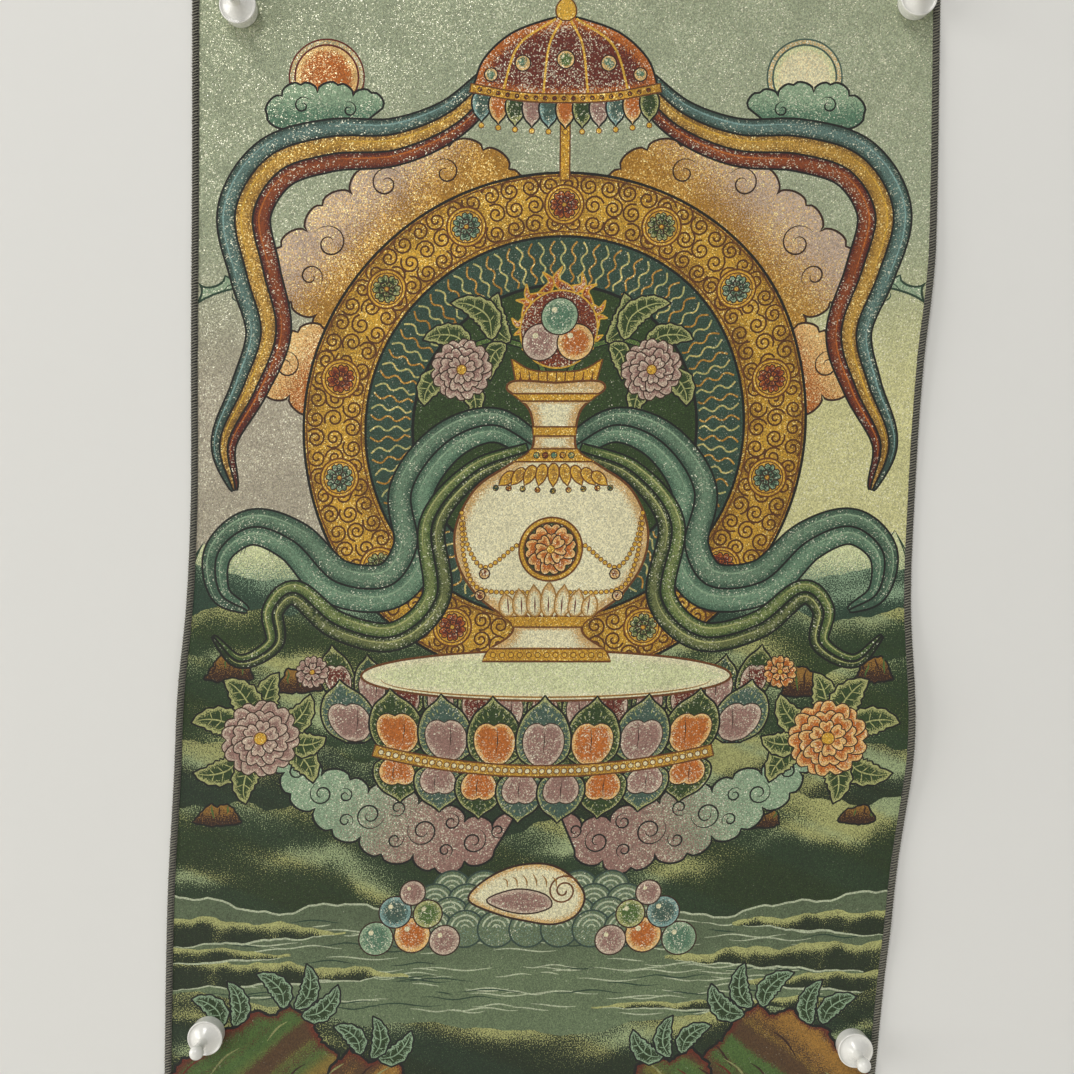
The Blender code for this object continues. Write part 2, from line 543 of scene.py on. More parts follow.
def scroll_cloud(art, side, knots, near, far, start, end, line, lurex, curls, bulge=0.55):
    """A cloud with bowed edges, its colour running from start to end, and curls drawn in it."""
    outline = mirrored(scallops(knots, bulge), side)
    paint = ramp(near, far, mirrored(start, side), mirrored(end, side))
    art.fill(outline, paint, lurex, line, 1.2)
    for centre, radius, begin, turns in curls:
        path = spiral(centre, (radius, radius * 0.22), begin, turns)
        art.trace(mirrored(path, side), line, 1.0, taper=True)


# The land, back to front


def value_noise(x, seed):
    """A smooth uneven line, about -1 to 1."""
    rng = np.random.default_rng(seed)
    total = np.zeros_like(x, dtype=float)
    for wave, height in ((130, 0.55), (61, 0.3), (27, 0.16), (11, 0.07)):
        total += height * np.sin(TAU * (x / wave + rng.uniform()))
    return total


def hill(art, level, rise, rough, seed, dark, light, depth, streaks=8):
    """A slope down to the lower edge, light along its ridge and where the sun strikes it."""
    rng = np.random.default_rng(seed)
    x = np.arange(-PAST_SIDE, PAST_SIDE + 1, 3.0)
    top = level + rise * (np.abs(x) / 200) ** 1.3 + rough * value_noise(x, seed)
    outline = np.vstack([np.column_stack([x, top]), [(PAST_SIDE, PAST_FOOT), (-PAST_SIDE, PAST_FOOT)]])
    marks = []
    for _ in range(streaks):
        side = rng.choice((-1, 1))
        marks.append((
            side * rng.uniform(30, 190), rng.uniform(0.3, 1.6) * depth, rng.uniform(18, 46),
            rng.uniform(0.12, 0.3) * depth, side * rng.uniform(-0.02, 0.16),
        ))

    def paint(p):
        below = np.interp(p[:, 0], x, top) - p[:, 1]
        lit = 0.85 * np.exp(-((below / (depth * 0.34)) ** 2))
        lit *= 0.62 + 0.38 * value_noise(p[:, 0], seed + 9)
        for at, down, wide, tall, slope in marks:
            off = below - down + slope * (p[:, 0] - at)
            lit += 0.7 * np.exp(-((off / tall) ** 2) - ((p[:, 0] - at) / wide) ** 2)
        share = np.clip(0.06 + 0.85 * lit, 0.03, 0.84)
        cool = ease(0.4 + 1.3 * value_noise(p[:, 0] + 2.5 * p[:, 1], seed + 5))[:, None]
        shade = dark + (DEEP_TEAL - dark) * 0.3 * cool
        return shade, light + (PALE_TEAL - light) * 0.55 * cool, share

    art.fill(outline, paint, lurex=0.05)
    return x, top


def outcrop(art, left, foot, width, height, seed):
    """A row of worn rocks that stands on a slope."""
    rng = np.random.default_rng(seed)
    steps = max(int(width / 4), 5)
    x = np.linspace(left, left + width, steps + 1)
    swell = np.sin(np.pi * np.linspace(0, 1, steps + 1)) ** 0.5
    rise = height * swell * rng.uniform(0.45, 1.0, steps + 1)
    upper = np.column_stack([x + rng.uniform(-1.2, 1.2, steps + 1), foot + rise])
    lower = np.column_stack([x, foot - 2 * swell])
    outline = even(np.vstack([upper, lower[-2:0:-1]]), LINE_STEP, closed=True)
    outline += rng.normal(0, 0.35, outline.shape)
    paint = ramp(DARK_BROWN, OLD_GOLD * 0.85, (0, foot - 1), (0, foot + height * 0.9), 0.15, 0.95)
    art.fill(outline, paint, 0.05, INK, 1.1)
    for k in range(1, steps):
        drop = rise[k] * rng.uniform(0.5, 0.9)
        crack = np.column_stack([
            np.linspace(upper[k, 0], upper[k, 0] + rng.uniform(-2, 2), 4) + rng.normal(0, 0.4, 4),
            np.linspace(foot + rise[k] - 1, foot + rise[k] - drop, 4),
        ])
        art.trace(curve(crack), DARK_BROWN if k % 2 else MOSS, 1.1, taper=True)


def crag(art, side, knots, seed):
    """A rock with a broken ink edge, a rusty rim and slanting worn bands."""
    rng = np.random.default_rng(seed)
    outline = even(np.array(knots, float), LINE_STEP, closed=True)
    outline += rng.normal(0, 0.45, outline.shape)
    outline = mirrored(outline, side)

    def paint(p):
        across = p[:, 0] * 0.8 * side + p[:, 1]
        band = 0.5 + 0.9 * value_noise(across * 3.2 + 6 * np.sin(p[:, 0] / 9), seed)
        rim = 1 - ease(distance_to(p, outline) / 5)
        dark = ROCK * 0.6 + (RUST - ROCK * 0.6) * rim[:, None]
        light = MOSS + (OLD_GOLD - MOSS) * ease(0.5 + value_noise(across, seed + 1))[:, None]
        return dark, light, np.clip(band * (1 - 0.8 * rim), 0.03, 0.95)

    art.fill(outline, paint, 0.08, INK, 1.6)
    low, high = outline.min(0), outline.max(0)
    for k in range(9):
        x = rng.uniform(low[0] + 6, high[0] - 10)
        y = rng.uniform(low[1] + 4, high[1] - 8)
        length = rng.uniform(8, 20)
        fall = np.array([(0, 0), (0.5 * side, -0.34), (side, -1)])
        line = curve(fall * length + (x, y))
        line = line[Places(line).within(outline)] if len(line) else line
        if len(line) > 4:
            line = line[np.argsort(line[:, 0])]
            art.trace(line, (DARK_BROWN, RUST, STRAW_GREEN * 0.7)[k % 3], 1.1, taper=True)


def ripples(art, box, count, seed, colour=FOAM):
    """Long thin lines on the water."""
    rng = np.random.default_rng(seed)
    left, right, low, high = box
    for _ in range(count):
        length = rng.uniform(12, 48)
        x = np.arange(0, length, 5.0)
        start = rng.uniform(left, right - length)
        y = rng.uniform(low, high) + 0.9 * np.sin(x / rng.uniform(3.5, 7) + rng.uniform(0, 6))
        art.trace(curve(np.column_stack([start + x, y])), colour, 0.8, taper=True)


def spit(art, side, tip, level, tall, seed):
    """A tongue of land that runs out into the water from one side."""
    x = np.arange(PAST_SIDE, tip, -3.0)
    t = (PAST_SIDE - x) / (PAST_SIDE - tip)
    top = level + tall * (1 - t) ** 0.6 + 0.22 * tall * value_noise(3 * x, seed)
    low = level - 0.8 * tall * (1 - t) ** 0.8 + 0.12 * tall * value_noise(4 * x, seed + 1)
    edge = np.column_stack([x, np.minimum(low, top - 1)])
    outline = mirrored(np.vstack([np.column_stack([x, top]), edge[::-1]]), side)

    def paint(p):
        below = np.interp(-np.abs(p[:, 0]), -x, top) - p[:, 1]
        lit = 0.95 * np.exp(-((below / (0.42 * tall)) ** 2)) + 0.3 * value_noise(4 * p[:, 0], seed + 2)
        return yarns(p, NIGHT_GREEN, STRAW_GREEN, np.clip(lit, 0.05, 0.9))

    art.fill(outline, paint, 0.05)
    art.trace(mirrored(edge[2:-2], side), FOAM, 1.2, taper=True)


def land(art):
    """Far peaks, green slopes, and water between the banks."""
    rng = np.random.default_rng(SEED)
    peaks = ((-206, -322), (-192, -300), (-180, -314), (-163, -288), (-146, -312), (-128, -298),
             (-108, -322), (108, -322), (124, -300), (141, -314), (160, -284), (176, -306),
             (190, -294), (206, -316), (206, -360), (-206, -360))
    outline = even(np.array(peaks, float), 4.0, closed=True)
    art.fill(outline, ramp(CREAM_GREEN, PALE_TEAL * 0.8, (0, -290), (0, -340)), 0.35)
    for x, y in peaks[1:-3]:
        if y > -306:
            for k in range(5):
                side = 1 if k % 2 else -1
                fall = np.array([(x, y), (x + side * (4 + k), y - 9 - k), (x + side * (7 + k), y - 20)])
                art.trace(curve(fall), DEEP_TEAL, 0.7, taper=True)
    hill(art, -330, 14, 5, 21, DEEP_TEAL, PALE_TEAL, 22)
    hill(art, -352, 16, 7, 22, LEAF_GREEN * 0.85, STRAW_GREEN, 26)
    x, top = hill(art, -384, 18, 8, 23, LEAF_GREEN * 0.8, STRAW_GREEN, 30)
    for at in (-186, -150, 128, 168):
        foot = np.interp(at + 12, x, top) - 7
        outcrop(art, at, foot, rng.uniform(20, 32), rng.uniform(12, 18), 40 + abs(at))
    hill(art, -424, 16, 8, 24, NIGHT_GREEN, STRAW_GREEN * 0.9, 30)
    x, top = hill(art, -462, 22, 9, 25, LEAF_GREEN * 0.7, STRAW_GREEN, 30)
    for at in (-188, 112, 164):
        foot = np.interp(at + 10, x, top) - 9
        outcrop(art, at, foot, rng.uniform(18, 30), rng.uniform(10, 15), 80 + abs(at))
    x = np.arange(-PAST_SIDE, PAST_SIDE + 1, 4.0)
    shore = -508 + 6 * value_noise(x, 31) + 10 * (np.abs(x) / 200) ** 2
    water = np.vstack([np.column_stack([x, shore]), [(PAST_SIDE, PAST_FOOT), (-PAST_SIDE, PAST_FOOT)]])
    art.fill(water, ramp(WATER * 0.8, WATER * 1.1, (0, -505), (0, -560), 0.1, 0.9), 0.08)
    art.trace(np.column_stack([x, shore])[1:-1], FOAM, 1.1)
    ripples(art, (-195, 195, -566, -512), 110, 5)
    ripples(art, (-195, 195, -566, -512), 50, 6, DEEP_TEAL)
    for side, tip, level, tall in (
        (1, 112, -514, 9), (-1, 100, -519, 10), (1, 74, -534, 11), (-1, 62, -543, 10),
        (-1, 128, -532, 6), (1, 120, -548, 8), (1, 36, -561, 6),
    ):
        spit(art, side, tip, level, tall, int(tip - level))
    hill(art, -576, 24, 4, 26, NIGHT_GREEN, STRAW_GREEN, 22, 5)


def corner_rocks(art):
    """Crags and leafy plants on the near bank."""
    for side in (1, -1):
        crag(art, side, ((96, -612), (102, -588), (112, -580), (120, -566), (131, -560), (140, -566),
                         (150, -562), (160, -572), (171, -574), (178, -586), (190, -590), (206, -612)),
             60 + side)
        crag(art, side, ((60, -612), (66, -594), (76, -588), (84, -592), (96, -584), (106, -594),
                         (112, -612)), 70 + side)
        leaves(art, side, (
            ((124, -566), (104, -548), 12, 0.2), ((128, -562), (122, -536), 11, 0.2),
            ((134, -562), (150, -542), 12, 0.2), ((80, -590), (62, -574), 11, 0.2),
            ((84, -590), (84, -566), 10, 0.2), ((90, -588), (106, -572), 11, 0.2),
            ((168, -572), (186, -556), 12, 0.2), ((162, -572), (166, -546), 11, 0.2),
        ), core=LEAF_GREEN * 0.8, edge=PALE_TEAL, teeth=0.1)


# The sky's clouds, sun, moon and parasol


def sky_clouds(art):
    """Thin outlined clouds, and the warm banks behind the halo."""
    for side in (1, -1):
        scroll_cloud(
            art, side,
            ((206, -176), (196, -160), (182, -156), (170, -148), (156, -150), (146, -160), (130, -166),
             (124, -182), (206, -186)),
            PALE_TEAL, SKY_SAGE, (160, -150), (160, -188), DEEP_TEAL, 0.5,
            (((176, -166), 7, 0.0, 1.1), ((151, -168), 6, 0.5, -1.1)),
        )
        scroll_cloud(
            art, side,
            ((24, -118), (30, -98), (44, -88), (62, -86), (76, -92), (92, -90), (106, -98), (114, -112),
             (130, -118), (138, -132), (152, -140), (154, -156), (146, -170), (132, -176), (120, -196),
             (60, -150)),
            PALE_MAUVE, GOLD, (118, -92), (70, -140), DARK_BROWN, 0.9,
            (((64, -100), 8, 0.1, 1.2), ((96, -106), 9, 0.4, -1.3), ((126, -138), 10, 0.1, 1.3),
             ((136, -156), 7, 0.6, -1.2)),
        )
        scroll_cloud(
            art, side,
            ((118, -196), (128, -184), (142, -186), (152, -194), (166, -196), (170, -208), (160, -218),
             (146, -220), (132, -230), (110, -214)),
            PALE_ORANGE, ORANGE * 0.9, (160, -188), (118, -216), DARK_BROWN, 0.8,
            (((148, -204), 8, 0.2, 1.3), ((130, -204), 6, 0.5, -1.2)),
        )


def sun_and_moon(art):
    """The sun at the left and the moon at the right, each on a small cloud."""
    for side, disc, pale, line in ((-1, ORANGE, PALE_ORANGE, RUST), (1, CREAM, CREAM_GREEN, SLATE)):
        centre = (side * 128, -50)
        outline = circle(centre, 17)
        art.fill(circle(centre, 20), plain(PALE_ORANGE, SKY_SAGE, 0.5), 0.6, line, 0.9)
        art.fill(outline, rimmed(disc, pale, outline, 6, 0.05), 0.8, line, 1.0)
        scroll_cloud(
            art, side,
            ((98, -66), (104, -58), (114, -60), (122, -54), (133, -58), (142, -54), (152, -60),
             (160, -70), (148, -76), (136, -74), (122, -78), (108, -74)),
            PALE_TEAL, TEAL, (126, -54), (126, -78), INK, 0.4,
            (((116, -67), 4.5, 0.2, 1.2), ((141, -65), 5, 0.4, -1.2)),
        )


def streamer(art, side, path, half, colours, line=INK):
    """A silk band of side by side strips, dark at their edges and narrow at both ends."""
    middle = curve(path)
    t = np.linspace(0, 1, len(middle))
    swell = 0.1 + 0.9 * np.sin(np.pi * np.clip(0.1 + 0.9 * t, 0, 1)) ** 0.6
    out = sideways(middle)
    count = len(colours)
    for k, (colour, pale, lurex) in enumerate(colours):
        centre = (k - (count - 1) / 2) * 2 * half / count * swell
        strip = middle + out * centre[:, None]
        outline = mirrored(ribbon(strip, half / count * swell), side)
        light = colour + (pale - colour) * 0.35
        paint = rimmed(light, colour * 0.7, outline, half / count * 0.85, 0.06)
        art.fill(outline, paint, lurex, line, 1.1)
        fold = mirrored(strip + out * (half / count * 0.3 * swell)[:, None], side)
        last = len(fold)
        for start, end in ((0.04, 0.30), (0.38, 0.62), (0.68, 0.95)):
            art.trace(fold[int(start * last):int(end * last)], pale, 0.8, taper=True)


def parasol(art):
    """A domed parasol with a petalled valance, and its streamers to both sides."""
    for side in (1, -1):
        streamer(
            art, side,
            ((40, -52), (62, -72), (92, -84), (126, -86), (156, -96), (172, -122), (166, -154),
             (158, -186), (168, -216), (182, -246), (176, -272)),
            14.5, ((RUST, ORANGE, 0.35), (OLD_GOLD, BRIGHT_GOLD, 0.9), (SLATE, PALE_SLATE, 0.35)),
        )
    gilt(art, ribbon(even(np.array([(0, -60), (0, -104)], float), LINE_STEP), 2.6), 0.4, 0.8)
    rim = np.array([(-50, -56), (-44, -40), (-30, -27), (-12, -20), (0, -18), (12, -20), (30, -27),
                    (44, -40), (50, -56)], float)
    low_edge = curve([(50, -56), (25, -60), (0, -61), (-25, -60), (-50, -56)])
    dome = np.vstack([curve(rim), low_edge[1:-1]])
    art.fill(dome, rimmed(RUST, ORANGE, dome, 9, 0.1), 0.6, INK, 1.2)
    for k, x in enumerate((-34, -12, 12, 34)):
        art.trace(curve([(x * 0.16, -19), (x * 0.75, -33), (x, -58)]), BRIGHT_GOLD, 1.2, lurex=1.0)
    for x, y, r in ((-40, -48, 3.6), (-23, -42, 4.2), (0, -40, 4.8), (23, -42, 4.2), (40, -48, 3.6)):
        jewel(art, (x, y), r, TEAL if r < 4.5 else MOSS)
    tones = ((SLATE, PALE_SLATE), (ORANGE, PALE_ORANGE), (LEAF_GREEN, STRAW_GREEN), (MAUVE, PALE_MAUVE))
    for k in range(11):
        x = -45 + 9 * k
        drop = -55.5 - 4.2 * (1 - (x / 50) ** 2)
        core, pale = tones[k % 4]
        tongue = petal_outline((x, drop), 10.5, 17, 0.5)
        art.fill(tongue, rimmed(core, pale, tongue, 2.2, 0.08), 0.4, INK, 1.0)
        bead(art, (x, drop - 18.6), 1.5)
    hem = curve([(-51, -55), (-25, -59.5), (0, -60.5), (25, -59.5), (51, -55)])
    gilt(art, ribbon(hem, 2.3), 0.4, 0.8)
    for k in range(3, len(hem) - 2, 3):
        bead(art, hem[k], 1.1, RUST, DARK_BROWN)
    art.fill(petal_outline((0, -20), 11, 13), plain(BRIGHT_GOLD, GOLD, 0.3), 1.0, BROWN, 0.8)


# The halo


HALO = np.array((0.0, -238.0))
HALO_RADIUS, RING_INSIDE, FIELD_RADIUS = 138.0, 104.0, 78.0
RING_MIDDLE = (HALO_RADIUS + RING_INSIDE) / 2


def halo(art):
    """A ring of gold scrolls and rosettes, a band of wavy rays and a dark green field."""
    def gold_paint(p):
        out = (np.hypot(*(p - HALO).T) - RING_MIDDLE) / (HALO_RADIUS - RING_MIDDLE)
        share = 0.36 + 0.5 * out ** 2 + 0.1 * value_noise(3 * p[:, 0] + 2 * p[:, 1], 4)
        return yarns(p, BRIGHT_GOLD * 0.92, GOLD * 0.62, np.clip(share, 0.05, 0.9))

    art.fill(circle(HALO, HALO_RADIUS), gold_paint, 1.0, INK, 1.5)
    rng = np.random.default_rng(3)
    for radius, start in ((131.5, 0.0), (121.5, 0.5), (111.5, 0.0)):
        count = int(TAU * radius / 10.6)
        for k in range(count):
            angle = (k + start) / count
            place = HALO + radius * np.array((math.cos(TAU * angle), math.sin(TAU * angle)))
            hand = 1 if (k + int(radius)) % 2 else -1
            begin = angle + rng.uniform(-0.2, 0.2)
            path = spiral(place, (5.6, 0.8), begin, hand * rng.uniform(1.5, 1.9))
            art.trace(path, BROWN * 0.7, 1.1)
    for radius in (136.3, 106.4):
        art.trace(circle(HALO, radius), BROWN, 0.8, closed=True)
    stones = ((RUST, ORANGE), (DEEP_TEAL, PALE_TEAL), (LEAF_GREEN, STRAW_GREEN))
    for k in range(14):
        angle = (k + 0.5) / 14
        place = HALO + 121 * np.array((math.cos(TAU * angle), math.sin(TAU * angle)))
        core, pale = stones[k % 3]
        gilt(art, circle(place, 10.5), 0.6, 1.0)
        art.trace(circle(place, 8.6), BROWN, 0.7, closed=True)
        blossom(art, place, 7.6, core, pale, angle, ((6, 1.0), (5, 0.55)))
    art.fill(circle(HALO, RING_INSIDE), plain(DEEP_TEAL, SLATE, 0.4), 0.12, INK, 1.4)
    rays = 104
    for k in range(rays):
        angle = k / rays
        reach = np.linspace(FIELD_RADIUS + 1.5, RING_INSIDE - 2.5, 9)
        sway = 1.5 * np.sin(np.linspace(0, 2.2 * TAU, 9) + (k % 2) * math.pi)
        line = turned(np.column_stack([reach, sway]), angle, HALO)
        art.trace(curve(line), GOLD if k % 2 else STRAW_GREEN, 0.95, lurex=0.9)
    art.fill(circle(HALO, FIELD_RADIUS), plain(LEAF_GREEN * 0.9, MOSS, 0.22), 0.12, INK, 1.6)


# The vase, its silk, and what grows from it


VASE_SIDE = ((0, -213), (22, -212), (27, -216), (21, -221), (14, -228), (11.5, -240), (13, -250),
             (25, -258), (43, -271), (53, -292), (51, -312), (40, -329), (26, -340), (19, -346),
             (21, -352), (31, -359), (35, -366))


def greenery(art):
    """Stems, leaves and two blossoms above the vase."""
    for side in (1, -1):
        stem = curve([(4, -214), (14, -196), (34, -190), (50, -196), (58, -212)])
        art.fill(mirrored(ribbon(stem, 1.5), side), plain(MOSS, STRAW_GREEN, 0.2), 0.1, INK, 0.8)
        leaves(art, side, (
            ((16, -196), (10, -168), 13, 0.2), ((26, -191), (34, -164), 14, -0.2),
            ((36, -190), (60, -170), 14, 0.25), ((48, -195), (74, -190), 13, 0.2),
            ((58, -210), (72, -226), 14, 0.25), ((56, -210), (44, -232), 13, -0.2),
            ((28, -192), (36, -212), 12, 0.2),
        ), teeth=0.08)
        blossom(art, (side * 52, -206), 16.5, MAUVE, PALE_MAUVE, 0.03 * side)


def flaming_jewels(art):
    """Three jewels in a ring of flames, on the vase's mouth."""
    centre = np.array((0.0, -184.0))
    for k in range(13):
        angle = 0.25 + (k - 6) * 0.058
        foot = centre + turned([(13, 0)], angle, (0, 0))[0]
        reach = 31 - abs(k - 6) * 1.2
        tip = centre + turned([(reach, 0)], angle, (0, 0))[0] + (0, 3)
        flame(art, foot, tip, 9.5, 0.22 * (1 if k % 2 else -1))
    art.fill(circle(centre, 21), plain(RUST, ORANGE, 0.25), 0.6, BRIGHT_GOLD, 0.9)
    for x, y, core, rim in (
        (-9.5, -191, MAUVE, PALE_MAUVE), (9.5, -191, ORANGE, PALE_ORANGE), (0, -177, TEAL, PALE_TEAL),
    ):
        jewel(art, (x, y), 10, core, rim)
    cup = np.vstack([curve([(-25, -200), (-14, -206), (0, -207), (14, -206), (25, -200)]),
                     curve([(22, -213), (0, -216), (-22, -213)])])
    gilt(art, cup, 0.45, 0.9)
    for k in range(-4, 5):
        art.trace(np.array([(k * 5.0, -207), (k * 4.9, -210), (k * 4.7, -213)]), BROWN, 0.7)


def silk(art):
    """Silk bands that leave the vase's neck and curl at both sides."""
    for side in (1, -1):
        streamer(
            art, side,
            ((10, -248), (34, -236), (60, -246), (78, -272), (74, -302), (88, -324), (118, -322),
             (142, -300), (166, -292), (184, -306), (182, -328), (166, -338)),
            13, ((TEAL, PALE_TEAL, 0.3), (TEAL * 0.75, PALE_TEAL, 0.3)),
        )
        streamer(
            art, side,
            ((14, -250), (44, -262), (66, -290), (62, -330), (84, -352), (116, -346), (140, -328),
             (152, -338), (150, -356), (168, -366), (184, -352)),
            8, ((LEAF_GREEN, STRAW_GREEN, 0.3), (MOSS, STRAW_GREEN, 0.3)),
        )


def vase(art):
    """A cream vase with gold collars, strings of beads and a blossom on its belly."""
    half = curve(VASE_SIDE)
    outline = np.vstack([half, mirrored(half, -1)[::-1][:-1]])
    art.fill(outline, rimmed(CREAM, PALE_ORANGE * 0.8, outline, 9, 0.05), 0.35, BROWN, 1.3)

    def width_at(y):
        return np.interp(-y, -half[:, 1], half[:, 0])

    for top, low in ((-219, -223), (-237, -242), (-249, -256), (-341, -347), (-359, -366)):
        y = np.linspace(top, low, 4)
        x = np.array([width_at(v) for v in y]) + 0.4
        band = np.vstack([np.column_stack([x, y]), np.column_stack([-x, y])[::-1]])
        gilt(art, band, 0.45, 0.9)
    for k in range(-2, 3):
        bead(art, (k * 4.8, -252.5), 1.7, RUST if k % 2 else TEAL, DARK_BROWN)
    for k in range(-6, 7):
        bead(art, (k * 4.9, -362.5), 1.5, BRIGHT_GOLD)
    for k in range(-4, 5):
        foot = (k * 5.4, -257 - 0.35 * k * k * 0.9)
        drop = petal_outline(foot, 6.2, 13 - abs(k) * 0.5, 0.5 + 0.035 * k)
        art.fill(drop, rimmed(OLD_GOLD, BRIGHT_GOLD, drop, 1.6), 1.0, BROWN, 0.8)
        tip = turned([(0, 15 - abs(k) * 0.5)], 0.5 + 0.035 * k, foot)[0]
        bead(art, tip, 1.6, RUST if k % 2 else DEEP_TEAL, DARK_BROWN)
    for side in (1, -1):
        for start, low, end in (
            ((50, -284), (36, -314), (19, -302)), ((50, -290), (38, -326), (6, -328)),
        ):
            between = ((start[0] + low[0]) / 2 + 3, (start[1] + low[1]) / 2 - 3)
            string = curve([start, between, low, end], step=2.9)
            for place in mirrored(string, side):
                bead(art, place, 1.25)
            jewel(art, mirrored(low, side) - (0, 3.5), 2.9, RUST)
    for k in range(-3, 4):
        flute = petal_outline((k * 7.2, -341), 8.6, 20 - abs(k) * 2.2, -0.012 * k)
        art.fill(flute, rimmed(CREAM, PALE_ORANGE * 0.8, flute, 2.2, 0.1), 0.4, OLD_GOLD, 0.8)
        art.trace(np.array([(k * 7.2, -340), (k * 7.4, -335), (k * 7.6, -330)]), RUST, 0.9, taper=True)
    centre = (0, -304)
    gilt(art, circle(centre, 17.5), 0.5, 1.0)
    art.fill(circle(centre, 14.8), plain(LEAF_GREEN, NIGHT_GREEN, 0.2), 0.2, BROWN, 0.8)
    blossom(art, centre, 14, ORANGE, PALE_ORANGE, 0.0, ((8, 1.0), (8, 0.62)))


# The throne and what stands round it


def lotus_throne(art):
    """A seat on two rounds of petals, one up and one down, with a string of beads between."""
    def sag(x):
        return 0.0014 * x * x

    for k in range(-6, 7):
        x = k * 18.5
        tone = (DEEP_TEAL, MAUVE) if k % 2 else (LEAF_GREEN, RUST)
        petal(art, (x, -404 + sag(x)), 19, 30, tone[0], tone[1], PALE_MAUVE, 0.0, x * 0.0022)
    seat = circle((0, -374), (101, 14))
    art.fill(seat, rimmed(CREAM_GREEN, CREAM, seat, 6, 0.25), 0.5, BROWN, 1.3)
    art.trace(arc((0, -376), (90, 10), 0.5, 1.0), OLD_GOLD, 1.0, taper=True)
    tones = ((SLATE, MAUVE, PALE_MAUVE), (LEAF_GREEN, ORANGE, PALE_ORANGE))
    for k in (-4, 4, -3, 3, -2, 2, -1, 1, 0):
        x = k * 25.5
        core, heart, pale = tones[k % 2]
        petal(art, (x, -426 + sag(x)), 30, 41 - abs(k) * 1.4, core, heart, pale, 0.0, x * 0.0030)
    for k in (-4, 4, -3, 3, -2, 2, -1, 1, 0):
        x = k * 23 + (11.5 if k < 0 else -11.5 if k > 0 else 0)
        core, heart, pale = tones[(k + 1) % 2]
        if k:
            petal(art, (x, -428 + sag(x)), 26, 30 - abs(k), core, heart, pale, 0.5, x * 0.0022)
    x = np.arange(-92, 93, 4.0)
    waist = np.column_stack([x, -427.5 + sag(x)])
    gilt(art, ribbon(waist, 3.2), 0.4, 0.9, OLD_GOLD)
    for place in waist[1:-1]:
        bead(art, place, 1.5, CREAM, BROWN)


def throne_clouds(art):
    """Scrolling clouds under the throne."""
    for side in (1, -1):
        scroll_cloud(
            art, side,
            ((12, -452), (24, -460), (40, -456), (52, -448), (66, -446), (78, -438), (94, -440),
             (104, -432), (120, -430), (132, -420), (150, -414), (140, -428), (136, -440), (122, -448),
             (112, -460), (96, -464), (84, -474), (66, -474), (54, -482), (38, -478), (22, -472)),
            PALE_TEAL, MAUVE, (140, -420), (20, -476), INK, 0.5,
            (((34, -467), 7.5, 0.3, 1.5), ((62, -461), 9, 0.1, -1.6), ((92, -452), 8.5, 0.5, 1.6),
             ((119, -440), 7, 0.2, -1.5), ((21, -461), 4.5, 0.6, 1.3), ((47, -456), 5, 0.2, 1.4),
             ((49, -472), 4.5, 0.7, -1.4), ((77, -448), 5, 0.9, -1.4), ((77, -466), 5, 0.4, 1.3),
             ((106, -441), 4.5, 0.1, 1.4), ((105, -455), 4.5, 0.6, -1.3), ((134, -427), 5, 0.3, 1.4)),
            0.62,
        )


def peonies(art):
    """A peony bush at each side of the throne."""
    for side, core, pale in ((-1, MAUVE, PALE_MAUVE), (1, ORANGE, PALE_ORANGE)):
        leaves(art, side, (
            ((148, -404), (128, -384), 15, 0.2), ((150, -400), (146, -372), 15, -0.15),
            ((160, -400), (176, -376), 16, 0.15), ((166, -408), (192, -400), 16, 0.2),
            ((164, -418), (190, -428), 15, -0.2), ((152, -420), (160, -446), 15, 0.2),
            ((142, -416), (124, -434), 15, -0.2), ((140, -408), (118, -408), 14, 0.2),
        ), teeth=0.1)
        blossom(art, (side * 154, -409), 21, core, pale, 0.02 * side)
        bud = (side * 128, -372)
        blossom(art, bud, 9, core, pale, 0.1, ((7, 1.0), (5, 0.6)))


def water_scales(art):
    """Rows of wave scales under the throne."""
    for row in range(4):
        y = -494 - 7.5 * row
        count = 6 + row
        for k in range(count):
            x = (k - (count - 1) / 2) * 17.5
            art.fill(circle((x, y), 10.5), plain(WATER, PALE_SLATE, 0.2), 0.2, SLATE * 0.6, 1.0)
            art.trace(arc((x, y), 7.8, 0.02, 0.48), FOAM, 1.0)
            art.trace(arc((x, y), 5.0, 0.04, 0.46), FOAM, 0.9)
            art.trace(arc((x, y), 2.4, 0.06, 0.44), FOAM, 0.8)


def conch(art):
    """A white conch shell on the wave scales."""
    shell = curve([(-34, -500), (-26, -489), (-10, -481), (8, -480), (22, -487), (30, -498), (26, -509),
                   (14, -514), (-2, -512), (-18, -508)], closed=True)
    art.fill(shell, rimmed(CREAM, PALE_ORANGE * 0.85, shell, 5, 0.05), 0.4, DARK_BROWN, 1.2)
    mouth = curve([(-24, -500), (-8, -494), (8, -497), (12, -504), (0, -508), (-14, -506)], closed=True)
    art.fill(mouth, rimmed(MAUVE, PALE_MAUVE, mouth, 3, 0.05), 0.4, DARK_BROWN, 0.9)
    art.trace(spiral((18, -495), (9, 1.5), 0.1, 1.9), BROWN, 1.0)
    for k in range(6):
        x = -16 + 5.4 * k
        rib = curve([(x, -485 - abs(k - 3)), (x + 2.4, -489), (x + 3, -493)])
        art.trace(rib, OLD_GOLD, 0.9, taper=True)


